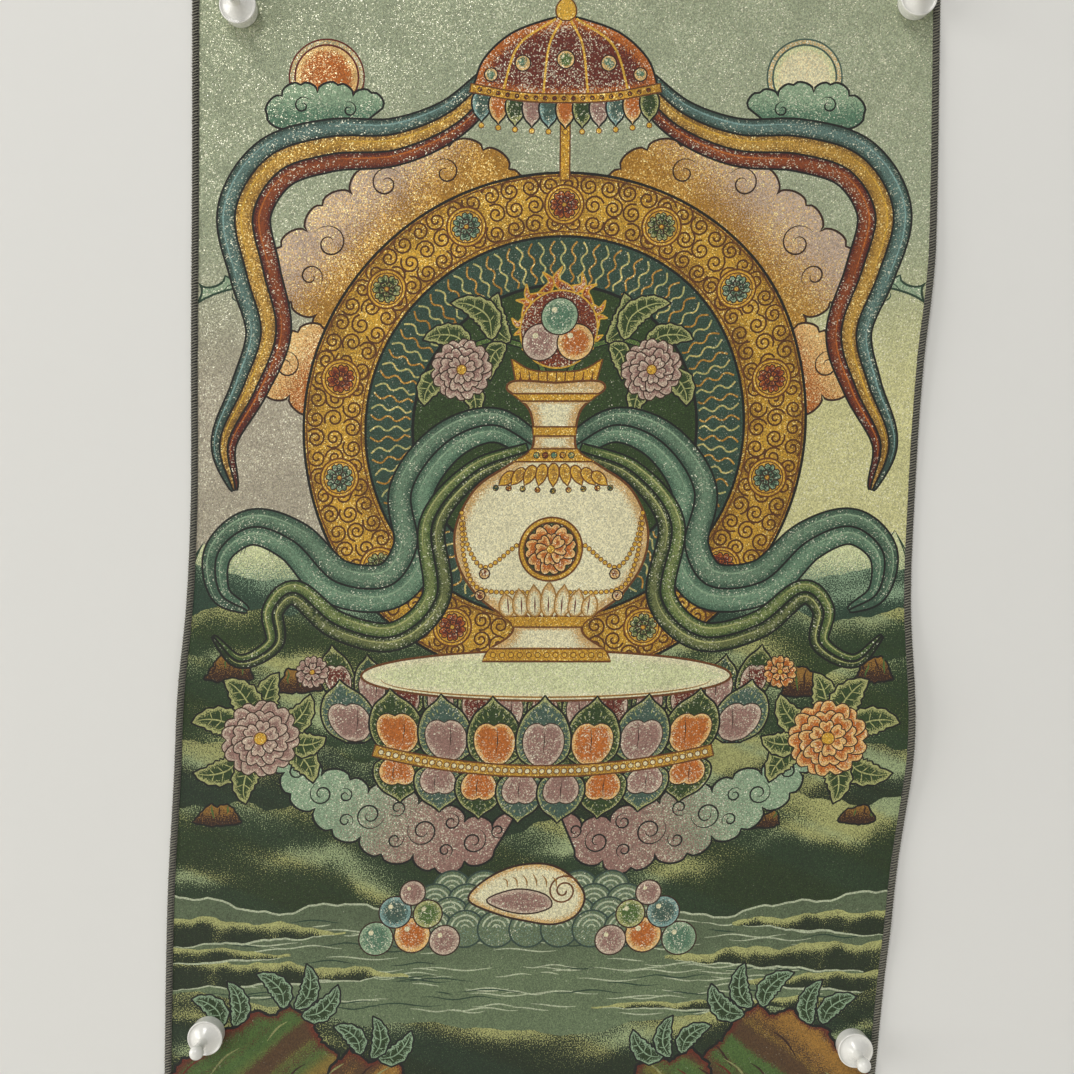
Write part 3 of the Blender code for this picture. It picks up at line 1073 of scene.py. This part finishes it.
def floating_jewels(art):
    """Heaps of jewels at both sides of the conch."""
    for side in (1, -1):
        for x, y, r, core, rim in (
            (64, -520, 10, ORANGE, PALE_ORANGE), (84, -522, 9.5, TEAL, PALE_TEAL),
            (46, -523, 8.5, MAUVE, PALE_MAUVE), (74, -507, 9, SLATE, PALE_SLATE),
            (56, -508, 8, MOSS, STRAW_GREEN), (65, -496, 7, MAUVE, PALE_MAUVE),
        ):
            jewel(art, (side * x, y), r, core, rim)


def woven_picture():
    """The whole picture: a treasure vase on a lotus throne between sky, hills and water."""
    art = Picture()
    art.fill(inset_corners(-5), sky_paint, lurex=0.42)
    sky_clouds(art)
    sun_and_moon(art)
    land(art)
    corner_rocks(art)
    halo(art)
    parasol(art)
    greenery(art)
    flaming_jewels(art)
    throne_clouds(art)
    lotus_throne(art)
    peonies(art)
    silk(art)
    vase(art)
    water_scales(art)
    conch(art)
    floating_jewels(art)
    return art


# The picture cut into faces


def segments_of(shapes):
    """Start, end and shape number of each step of every outline."""
    starts = np.vstack([outline for outline, *_ in shapes])
    ends = np.vstack([np.roll(outline, -1, axis=0) for outline, *_ in shapes])
    owner = np.repeat(np.arange(len(shapes)), [len(outline) for outline, *_ in shapes])
    return starts, ends, owner


def on_cloth(points):
    """Whether each point lies on the cloth, and not right at its edge."""
    from_middle = np.abs(points + (0, HEIGHT / 2))
    return (from_middle < (WIDTH / 2 - 1, HEIGHT / 2 - 1)).all(1)


def cut(shapes, step):
    """Cuts the flat cloth into triangles along what shows of every outline."""
    starts, ends, owner = segments_of(shapes)
    middle = (starts + ends) / 2
    shown = on_cloth(starts) & on_cloth(ends)
    places = Places(middle)
    for k, (outline, *_) in enumerate(shapes):
        near = places.within(outline)
        shown[near[owner[near] < k]] = False
    ends_used = np.vstack([starts[shown], ends[shown]])
    grid, where = np.unique(np.round(ends_used / GRID).astype(int), axis=0, return_inverse=True)
    where = where.ravel()
    half = len(where) // 2
    pairs = np.unique(np.sort(np.column_stack([where[:half], where[half:]]), axis=1), axis=0)
    pairs = pairs[pairs[:, 0] != pairs[:, 1]]
    points = grid * GRID
    loose = spread_points(step, points)
    points = np.vstack([points, loose, border_points()])
    spots = [Vector(p) for p in points.tolist()]
    found = delaunay_2d_cdt(spots, pairs.tolist(), [], 0, 0.01, False)
    flat = np.array([tuple(v) for v in found[0]])
    faces = np.array([f for f in found[2] if len(f) == 3])
    a, b, c = (flat[faces[:, k]] for k in range(3))
    area = (b[:, 0] - a[:, 0]) * (c[:, 1] - a[:, 1]) - (b[:, 1] - a[:, 1]) * (c[:, 0] - a[:, 0])
    faces[area < 0] = faces[area < 0][:, ::-1]
    return flat, faces


def spread_points(step, taken):
    """Points at even spacing over the cloth, clear of those taken."""
    rng = np.random.default_rng(SEED)
    rows = np.arange(-HEIGHT + SEAM_WIDTH + 1, -SEAM_WIDTH, step * 0.87)
    reach = WIDTH / 2 - SEAM_WIDTH - 1
    parts = []
    for k, y in enumerate(rows):
        x = np.arange(step / 2 * (k % 2) - reach, reach, step)
        parts.append(np.column_stack([x, np.full(len(x), y)]))
    points = np.vstack(parts)
    points += rng.uniform(-0.12, 0.12, points.shape) * step
    cell = step * 0.5
    busy = {tuple(c) for c in np.floor(taken / cell).astype(int).tolist()}
    free = [tuple(c) not in busy for c in np.floor(points / cell).astype(int).tolist()]
    return points[np.array(free)]


def border_points():
    """Points along the cloth's edge, in order round it."""
    corners = inset_corners(0.0)
    sides = zip(corners, np.roll(corners, -1, axis=0))
    return np.vstack([even(np.array(side), EDGE_STEP)[:-1] for side in sides])


def owners(points, shapes):
    """The number of the topmost shape at each point."""
    owner = np.zeros(len(points), int)
    places = Places(points)
    for k, (outline, *_) in enumerate(shapes):
        owner[places.within(outline)] = k
    return owner


def deepened(colour):
    """A drawn colour as the yarn shows it, with more contrast."""
    return YARN_GAIN * colour ** YARN_CONTRAST


def coloured(flat, faces, shapes):
    """Both yarn colours, their share and the lurex at each corner of each face."""
    owner = owners(flat[faces].mean(1), shapes)
    first = np.zeros((len(faces), 3, 3))
    second = np.zeros((len(faces), 3, 3))
    share = np.zeros((len(faces), 3))
    lurex = np.zeros((len(faces), 3))
    order = np.argsort(owner, kind="stable")
    for group in np.split(order, np.flatnonzero(np.diff(owner[order])) + 1):
        _, paint, glint, _ = shapes[owner[group[0]]]
        corners = flat[faces[group]].reshape(-1, 2)
        a, b, t = paint(corners)
        first[group] = deepened(a).reshape(-1, 3, 3)
        second[group] = deepened(b).reshape(-1, 3, 3)
        share[group] = t.reshape(-1, 3)
        lurex[group] = glint
    return first, second, share, lurex


def reverse_side(first, second):
    """The back of a figured weave: the yarns that the front hides, muted."""
    grey = first.mean(-1, keepdims=True)
    turned = 0.30 - 0.55 * grey + 0.25 * (second - first) + 0.35 * first
    return np.clip(turned * (1.0, 0.93, 0.74), 0.02, 0.6), np.clip(turned * 1.5, 0.03, 0.7)


# Meshes


def new_object(name, vertices, faces, materials, smooth=True):
    mesh = bpy.data.meshes.new(name)
    mesh.from_pydata([tuple(v) for v in np.asarray(vertices).tolist()], [], faces)
    for material in materials:
        mesh.materials.append(material)
    mesh.polygons.foreach_set("use_smooth", np.full(len(mesh.polygons), smooth))
    mesh.update()
    ob = bpy.data.objects.new(name, mesh)
    bpy.context.scene.collection.objects.link(ob)
    return ob


def corner_numbers(mesh, name, kind, values):
    """Stores one value for each corner of each face."""
    layer = mesh.attributes.new(name, kind, "CORNER")
    field = "color" if kind == "FLOAT_COLOR" else "value"
    layer.data.foreach_set(field, np.asarray(values, np.float32).ravel())


def along_border(flat):
    """The numbers of the points on the cloth's edge, in order round it."""
    x, y = flat[:, 0] / (WIDTH / 2), flat[:, 1] / (HEIGHT / 2) + 1
    edge = np.flatnonzero(np.maximum(np.abs(x), np.abs(y)) > 1 - 1e-5)
    return edge[np.argsort(np.arctan2(y[edge], x[edge]))]


def cloth_panel(picture, materials):
    """The brocade: the picture in front, its muted reverse behind, and the edge between."""
    middle = even(inset_corners(SEAM_WIDTH - SEAM_BAND), EDGE_STEP, closed=True)
    seam = band_round(middle, SEAM_BAND)
    # The band under the overlock, near black as painted shade between the strands
    picture.fill(seam, plain(SELVEDGE_AND_GAP_SHADE, RUST * 0.3, 0.25), lurex=0.0)
    shapes = picture.shapes
    flat, faces = cut(shapes, FACE_STEP)
    behind = [shape for shape in shapes if shape[3] and np.ptp(shape[0], axis=0).min() > BACK_DETAIL]
    back_flat, back_faces = cut(behind, BACK_STEP)
    first, second, share, lurex = coloured(flat, faces, shapes)
    back_a, back_b, back_share, _ = coloured(back_flat, back_faces, behind)
    back_a, back_b = reverse_side(back_a, back_b)

    count = len(flat)
    front_edge = along_border(flat)
    back_edge = along_border(back_flat) + count
    ahead = np.roll(front_edge, -1), np.roll(back_edge, -1)
    rim = np.column_stack([front_edge, *ahead, back_edge]).tolist()
    vertices = np.vstack([in_front(flat, THICKNESS), in_front(back_flat, 0.0)])
    all_faces = faces.tolist() + (back_faces[:, ::-1] + count).tolist() + rim
    panel = new_object("brocade_panel", vertices, all_faces, materials)

    mesh = panel.data
    rim_corners = 4 * len(rim)
    # The cut edge in the same near black, painted shade under the threads
    rim_selvedge_and_shade = np.tile(SELVEDGE_AND_GAP_SHADE, (rim_corners, 1))

    def with_rim(front, back, edge):
        width = edge[0].size
        return np.vstack([part.reshape(-1, width) for part in (front, back[:, ::-1], edge)])

    ink_a = with_rim(first, back_a, rim_selvedge_and_shade)
    ink_b = with_rim(second, back_b, rim_selvedge_and_shade)
    opaque = np.ones((len(ink_a), 1))
    corner_numbers(mesh, "ink_a", "FLOAT_COLOR", np.hstack([ink_a, opaque]))
    corner_numbers(mesh, "ink_b", "FLOAT_COLOR", np.hstack([ink_b, opaque]))
    none = np.zeros(rim_corners)
    corner_numbers(mesh, "share", "FLOAT", with_rim(share, back_share, none))
    corner_numbers(mesh, "lurex", "FLOAT", with_rim(lurex, back_share * 0, none))

    places = np.vstack([flat, back_flat]) * MM
    loops = np.empty(len(mesh.loops), np.int32)
    mesh.loops.foreach_get("vertex_index", loops)
    layer = mesh.uv_layers.new(name="cloth")
    layer.uv.foreach_set("vector", places[loops].astype(np.float32).ravel())
    slots = np.r_[np.zeros(len(faces)), np.ones(len(back_faces)), np.zeros(len(rim))]
    mesh.polygons.foreach_set("material_index", slots.astype(np.int32))
    smooth = np.r_[np.ones(len(faces) + len(back_faces)), np.zeros(len(rim))].astype(bool)
    mesh.polygons.foreach_set("use_smooth", smooth)
    mesh.update()
    return panel


def inset_corners(gap):
    """The cloth's four corners, this far in from its edge."""
    x, y = WIDTH / 2 - gap, gap
    return np.array(((-x, -y), (x, -y), (x, -HEIGHT + y), (-x, -HEIGHT + y)))


def tubes(name, paths, radius, sides, material, shades):
    """Many threads of one thickness as one mesh. paths is threads x points x 3, in metres."""
    threads, count, _ = paths.shape
    run = np.gradient(paths, axis=1)
    run /= np.linalg.norm(run, axis=2, keepdims=True)
    out = np.cross(run, np.roll(run, 1, axis=2) + (0.31, 0.17, 0.05))
    out /= np.linalg.norm(out, axis=2, keepdims=True)
    side = np.cross(run, out)
    turn = TAU * np.arange(sides) / sides
    swell = radius * np.r_[0.5, np.ones(count - 2), 0.5][None, :, None, None]
    ring = out[:, :, None] * np.cos(turn)[:, None] + side[:, :, None] * np.sin(turn)[:, None]
    vertices = (paths[:, :, None] + ring * swell).reshape(-1, 3)
    t, p, s = np.meshgrid(np.arange(threads), np.arange(count - 1), np.arange(sides), indexing="ij")
    base = (t * count + p) * sides
    after = (s + 1) % sides
    walls = np.stack([base + s, base + after, base + sides + after, base + sides + s], -1)
    walls = walls.reshape(-1, 4)
    first = np.arange(threads)[:, None] * count * sides + np.arange(sides)
    caps = np.vstack([first[:, ::-1], first + (count - 1) * sides])
    ob = new_object(name, vertices, walls.tolist() + caps.tolist(), [material])
    mesh = ob.data
    layer = mesh.attributes.new("shade", "FLOAT", "POINT")
    layer.data.foreach_set("value", np.repeat(shades, count * sides).astype(np.float32))
    length = mesh.attributes.new("along", "FLOAT_VECTOR", "POINT")
    steps = np.linalg.norm(np.diff(paths, axis=1), axis=2).cumsum(1)
    steps = np.hstack([np.zeros((threads, 1)), steps])
    where = np.zeros((threads, count, sides, 3))
    where[..., 0] = steps[..., None]
    where[..., 1] = np.arange(sides) / sides
    length.data.foreach_set("vector", where.astype(np.float32).ravel())
    return ob


def overlock(material):
    """Looper threads slanting over the edge on both faces, and the needle thread inside them."""
    rng = np.random.default_rng(SEED)
    corners = inset_corners(0.0)
    pieces = []
    for name, stitch, radius, sides, tones in THREADS:
        shape = np.array(stitch)
        paths = []
        for start, end in zip(corners, np.roll(corners, -1, axis=0)):
            length = np.hypot(*(end - start))
            run = (end - start) / length
            inward = np.array([run[1], -run[0]])
            count = int(length / STITCH_PITCH)
            places = (np.arange(count) + 0.5) * length / count
            wander = rng.normal(0, THREAD_WANDER, (count, len(shape), 3)) * (0.56, 0.45, 1.2)
            reach = (shape[:, 0] + wander[..., 0]) * SEAM_WIDTH
            advance = places[:, None] + (shape[:, 2] + wander[..., 2]) * STITCH_PITCH
            flat = start + advance[..., None] * run + reach[..., None] * inward
            height = shape[:, 1] + wander[..., 1]
            spots = hung(flat.reshape(-1, 2))
            spots[:, 1] -= height.ravel()
            paths.append(spots.reshape(count, len(shape), 3) * MM)
        paths = np.vstack(paths)
        shades = rng.uniform(*tones, len(paths))
        pieces.append(tubes(f"overlock_{name}", paths, radius * MM, sides, material, shades))
    return pieces


def magnet_profile():
    """The outline of a magnet from the middle of its base to the top of its knob, in mm."""
    points = [np.array([(0.0, 0.0)])]
    points.append(arc((8.6, 0.5), 0.5, -0.25, 0, 0.12))
    points.append(np.array([(9.2, 1.6), (9.35, 3.6), (9.5, 5.6)]))
    points.append(arc((9.25, 7.55), 0.45, 0, 0.36, 0.1))
    points.append(np.array([(8.75, 7.6), CONE_FOOT]))
    t = np.linspace(0, 1, 19)[1:, None]
    points.append(CONE_FOOT + (NECK - CONE_FOOT) * np.hstack([t, t ** CONE_BEND]))
    neck_turn = math.acos(NECK[0] / BALL_RADIUS) / TAU
    points.append(arc((0.0, BALL_HEIGHT), BALL_RADIUS, -neck_turn, 0.25, 0.4))
    return np.vstack(points)


def magnet_body(name, x, z, material):
    """A white knob magnet, turned round its axis, which stands out from the board."""
    profile = magnet_profile()
    steps = MAGNET_STEPS
    turn = TAU * np.arange(steps) / steps
    seat = -THICKNESS - SEAT_GAP
    body = profile[1:-1]
    vertices = [(x, seat, z)]
    for radius, height in body:
        y = np.full(steps, seat - height)
        ring = np.column_stack([x + radius * np.cos(turn), y, z + radius * np.sin(turn)])
        vertices += ring.tolist()
    vertices.append((x, seat - profile[-1][1], z))
    faces = []
    last = len(vertices) - 1
    for k in range(steps):
        n = (k + 1) % steps
        faces.append((0, 1 + n, 1 + k))
        for row in range(len(body) - 1):
            low, high = 1 + row * steps, 1 + (row + 1) * steps
            faces.append((low + k, low + n, high + n, high + k))
        top = 1 + (len(body) - 1) * steps
        faces.append((top + k, top + n, last))
    magnet = new_object(f"magnet_{name}", np.array(vertices) * MM, faces, [material])
    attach(magnet, "root")
    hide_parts(f"knob_magnet_{name}")
    return magnet


# Materials. The scales suit lengths in metres.

GRAIN_SCALE, CELL_SCALE, DRIFT_SCALE = 1400.0, 1900.0, 38.0
RIB_SCALE, BACK_RIB_SCALE = 628.0, 420.0
TWIST_SCALE = 1900.0


class Nodes:
    """A material's node tree, with its Principled shader."""

    def __init__(self, name):
        self.material = bpy.data.materials.new(name)
        self.material.use_nodes = True
        self.tree = self.material.node_tree
        self.shader = self.tree.nodes["Principled BSDF"]

    def add(self, kind, inputs=None, **settings):
        """A node, with its settings, and its inputs as numbers or other nodes' sockets."""
        node = self.tree.nodes.new(kind)
        for key, value in settings.items():
            setattr(node, key, value)
        for key, value in (inputs or {}).items():
            self.join(value, node.inputs[key])
        return node

    def join(self, value, socket):
        if isinstance(value, bpy.types.NodeSocket):
            self.tree.links.new(value, socket)
        else:
            socket.default_value = value

    def stored(self, name, output="Fac"):
        return self.add("ShaderNodeAttribute", attribute_name=name).outputs[output]

    def math(self, operation, a, b=0.0):
        return self.add("ShaderNodeMath", {0: a, 1: b}, operation=operation).outputs[0]

    def stretch(self, value, low, high, to_low=0.0, to_high=1.0, smooth=True):
        """A number moved from one range to another, and held within it."""
        kind = "SMOOTHSTEP" if smooth else "LINEAR"
        inputs = {0: value, 1: low, 2: high, 3: to_low, 4: to_high}
        return self.add("ShaderNodeMapRange", inputs, interpolation_type=kind).outputs["Result"]

    def noise(self, where, scale, detail=2.0, rough=0.6):
        inputs = {"Vector": where, "Scale": scale, "Detail": detail, "Roughness": rough}
        return self.add("ShaderNodeTexNoise", inputs, noise_dimensions="2D").outputs["Fac"]

    def mix(self, a, b, share, blend="MIX"):
        node = self.add("ShaderNodeMix", data_type="RGBA", blend_type=blend)
        self.join(share, node.inputs["Factor"])
        self.join(a, node.inputs[6])
        self.join(b, node.inputs[7])
        return node.outputs[2]

    def tones(self, first, second, share):
        """A mix of two colours given by their usual 0 to 255 numbers."""
        return self.mix((*srgb(*first), 1.0), (*srgb(*second), 1.0), share)

    def clouds(self, scale, detail):
        """Noise in the space round the object."""
        where = self.add("ShaderNodeTexCoord").outputs["Object"]
        inputs = {"Vector": where, "Scale": scale, "Detail": detail}
        return self.add("ShaderNodeTexNoise", inputs).outputs["Fac"]

    def finish(self, **inputs):
        for key, value in inputs.items():
            self.join(value, self.shader.inputs[key.replace("_", " ")])
        return self.material


def brocade(name, reverse=False):
    """Woven yarns: two colours thrown over each other grain by grain, ribs, and metal glints whose
    colour is partly painted highlight.
    """
    n = Nodes(name)
    where = n.add("ShaderNodeUVMap", uv_map="cloth").outputs["UV"]
    grain = n.stretch(n.noise(where, GRAIN_SCALE, 2.0, 0.65), 0.30, 0.70, smooth=False)
    share = n.stretch(n.stored("share"), 0.0, 1.0, -0.12, 1.12, smooth=False)
    gate = n.stretch(n.math("SUBTRACT", share, grain), -0.12, 0.12)
    yarn = n.mix(n.stored("ink_a", "Color"), n.stored("ink_b", "Color"), gate)

    inputs = {"Vector": where, "Scale": CELL_SCALE}
    cells = n.add("ShaderNodeTexVoronoi", inputs, voronoi_dimensions="2D")
    pick = n.add("ShaderNodeSeparateColor", {0: cells.outputs["Color"]})
    drift = n.noise(where, DRIFT_SCALE, 3.0, 0.6)
    tone = n.math("MULTIPLY", n.stretch(pick.outputs[1], 0.0, 1.0, 0.62, 1.30, smooth=False),
                  n.stretch(drift, 0.25, 0.75, 0.93, 1.07, smooth=False))
    yarn = n.mix(yarn, n.add("ShaderNodeCombineColor", {0: tone, 1: tone, 2: tone}).outputs[0],
                 1.0, "MULTIPLY")

    inputs = {"Vector": where, "Scale": BACK_RIB_SCALE if reverse else RIB_SCALE}
    ribs = n.add("ShaderNodeTexWave", inputs, bands_direction="Y").outputs["Fac"]
    if reverse:
        n.finish(Base_Color=yarn, Roughness=0.8)
        n.shader.inputs["Sheen Weight"].default_value = 0.2
        height = n.math("ADD", ribs, n.math("MULTIPLY", grain, 1.4))
        bump = n.add("ShaderNodeBump", {"Height": height, "Strength": 0.5, "Distance": 0.00025})
        return n.finish(Normal=bump.outputs["Normal"])

    clump = n.stretch(drift, 0.30, 0.62, 0.35, 1.0)
    chance = n.math("MULTIPLY", n.math("MULTIPLY", n.stored("lurex"), clump), 0.5)
    glint = n.stretch(n.math("ADD", pick.outputs[0], chance), 1.0, 1.1)
    rich = n.stretch(n.stored("lurex"), 0.6, 1.0)
    # The metal's pale and gold tones are the lurex's own colour, brightened as painted highlight
    metal = n.mix(n.tones((236, 233, 204), (236, 184, 74), rich), yarn, 0.45)
    # A few near-white cells are painted highlights of facets that catch the light
    painted_sparkle = n.tones((255, 253, 228), (255, 236, 156), rich)
    metal = n.mix(metal, painted_sparkle, n.stretch(pick.outputs[2], 0.80, 0.86))
    colour = n.mix(yarn, metal, glint)
    height = n.math("ADD", n.math("MULTIPLY", ribs, 0.5), n.math("ADD", grain, pick.outputs[2]))
    bump = n.add("ShaderNodeBump", {"Height": height, "Strength": 0.45, "Distance": 0.0002})
    n.shader.inputs["Sheen Weight"].default_value = 0.12
    return n.finish(
        Base_Color=colour,
        Metallic=n.math("MULTIPLY", glint, 0.75),
        Roughness=n.stretch(glint, 0.0, 1.0, 0.72, 0.34, smooth=False),
        Normal=bump.outputs["Normal"],
    )


def thread_material():
    """Dark grey sewing thread, with its twist and a tone for each strand; the near-black tones are
    painted shade in the gaps between strands.
    """
    n = Nodes("overlock_thread")
    split = n.add("ShaderNodeSeparateXYZ", {0: n.stored("along", "Vector")})
    twist = n.math("ADD", n.math("MULTIPLY", split.outputs[0], TWIST_SCALE), split.outputs[1])
    wave = n.math("SINE", n.math("MULTIPLY", twist, TAU))
    tone = n.math("ADD", n.math("MULTIPLY", wave, 0.22), n.stored("shade"))
    # The near-black end of the ramp paints the shade in the gaps between strands
    colour = n.tones((10, 10, 8), (138, 135, 118), n.stretch(tone, -0.1, 1.1))
    bump = n.add("ShaderNodeBump", {"Height": wave, "Strength": 0.4, "Distance": 0.00008})
    n.shader.inputs["Sheen Weight"].default_value = 0.25
    return n.finish(Base_Color=colour, Roughness=0.6, Normal=bump.outputs["Normal"])


def plastic_material():
    """Glossy white moulded plastic with a faint orange-peel skin."""
    n = Nodes("white_plastic")
    skin = n.clouds(420.0, 3.0)
    colour = n.tones((232, 231, 225), (224, 222, 214), n.clouds(70.0, 2.0))
    bump = n.add("ShaderNodeBump", {"Height": skin, "Strength": 0.12, "Distance": 0.0002})
    n.shader.inputs["Coat Weight"].default_value = 0.35
    n.shader.inputs["Coat Roughness"].default_value = 0.08
    rough = n.stretch(skin, 0.3, 0.7, 0.18, 0.30, smooth=False)
    return n.finish(Base_Color=colour, Roughness=rough, Normal=bump.outputs["Normal"])


def board_material():
    """A satin white board, clear from behind so that the cloth's back can be seen."""
    n = Nodes("board")
    colour = n.tones((231, 230, 226), (225, 224, 219), n.clouds(1.5, 2.0))
    n.shader.inputs["Specular IOR Level"].default_value = 0.25
    n.finish(Base_Color=colour, Roughness=0.62)
    side = n.add("ShaderNodeNewGeometry").outputs["Backfacing"]
    clear = n.add("ShaderNodeBsdfTransparent").outputs[0]
    both = n.add("ShaderNodeMixShader", {0: side, 1: n.shader.outputs[0], 2: clear})
    n.tree.links.new(both.outputs[0], n.tree.nodes["Material Output"].inputs["Surface"])
    return n.material


def floor_material():
    n = Nodes("pale_floor")
    colour = n.tones((226, 224, 219), (218, 216, 210), n.clouds(2.0, 4.0))
    return n.finish(Base_Color=colour, Roughness=0.7)


# Stage, light and camera

BOARD_GAP = 0.7 * MM
FLOOR = -1.05
CAMERA_AT = (-0.0158, -0.5898, -0.268)
CAMERA_PITCH = math.radians(-2.91)
CAMERA_LENS = 36.0
LIGHT_AIM = Vector((0, 0, -0.3))
# name, place, width and height, power, colour
LIGHTS = (
    ("key", (-1.5, -4.6, 4.3), (2.2, 2.2), 178, (1.0, 0.99, 0.965)),
    ("window", (-4.7, -1.5, 0.3), (3.2, 3.2), 132, (1.0, 0.99, 0.97)),
    ("fill", (2.4, -2.8, 0.2), (2.0, 2.2), 9, (1.0, 0.98, 0.93)),
    ("back_left", (-1.4, 1.8, 0.6), (1.2, 1.2), 18, (1.0, 0.99, 0.97)),
    ("back_right", (1.5, 1.6, 0.2), (1.2, 1.2), 10, (0.97, 0.98, 1.0)),
)


def stage_sheet(name, corners, material):
    return new_object(name, corners, [(0, 1, 2, 3)], [material], smooth=False)


def stage():
    upright = [(-3, BOARD_GAP, FLOOR), (3, BOARD_GAP, FLOOR), (3, BOARD_GAP, 2), (-3, BOARD_GAP, 2)]
    level = [(-4, -5, FLOOR), (4, -5, FLOOR), (4, 4, FLOOR), (-4, 4, FLOOR)]
    board = stage_sheet("stage_board", upright, board_material())
    floor = stage_sheet("stage_floor", level, floor_material())
    board.visible_shadow = False


def lights():
    for name, place, size, power, colour in LIGHTS:
        light = bpy.data.lights.new(name, "AREA")
        light.shape = "RECTANGLE"
        light.size, light.size_y = size
        light.energy = power
        light.color = colour
        ob = bpy.data.objects.new(name, light)
        ob.location = place
        ob.rotation_euler = (LIGHT_AIM - Vector(place)).to_track_quat("-Z", "Y").to_euler()
        bpy.context.scene.collection.objects.link(ob)
    world = bpy.data.worlds.new("room")
    world.use_nodes = True
    sky = world.node_tree.nodes["Background"]
    sky.inputs["Color"].default_value = (0.93, 0.95, 1.0, 1.0)
    sky.inputs["Strength"].default_value = 0.27
    bpy.context.scene.world = world


def camera():
    data = bpy.data.cameras.new("camera")
    data.lens = CAMERA_LENS
    data.sensor_width = 36.0
    data.clip_start = 0.02
    ob = bpy.data.objects.new("camera", data)
    ob.location = CAMERA_AT
    ob.rotation_euler = (math.pi / 2 + CAMERA_PITCH, 0, 0)
    bpy.context.scene.collection.objects.link(ob)
    bpy.context.scene.camera = ob


def main():
    plastic = plastic_material()
    magnets = [magnet_body(name, x, z, plastic) for name, x, z in MAGNETS]
    panel = cloth_panel(woven_picture(), [brocade("brocade"), brocade("brocade_reverse", True)])
    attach(panel, "root")
    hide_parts("woven_panel")
    seam = overlock(thread_material())
    for piece in seam:
        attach(piece, "root")
    stage()
    lights()
    camera()
    bpy.context.scene.view_settings.view_transform = "Standard"


main()
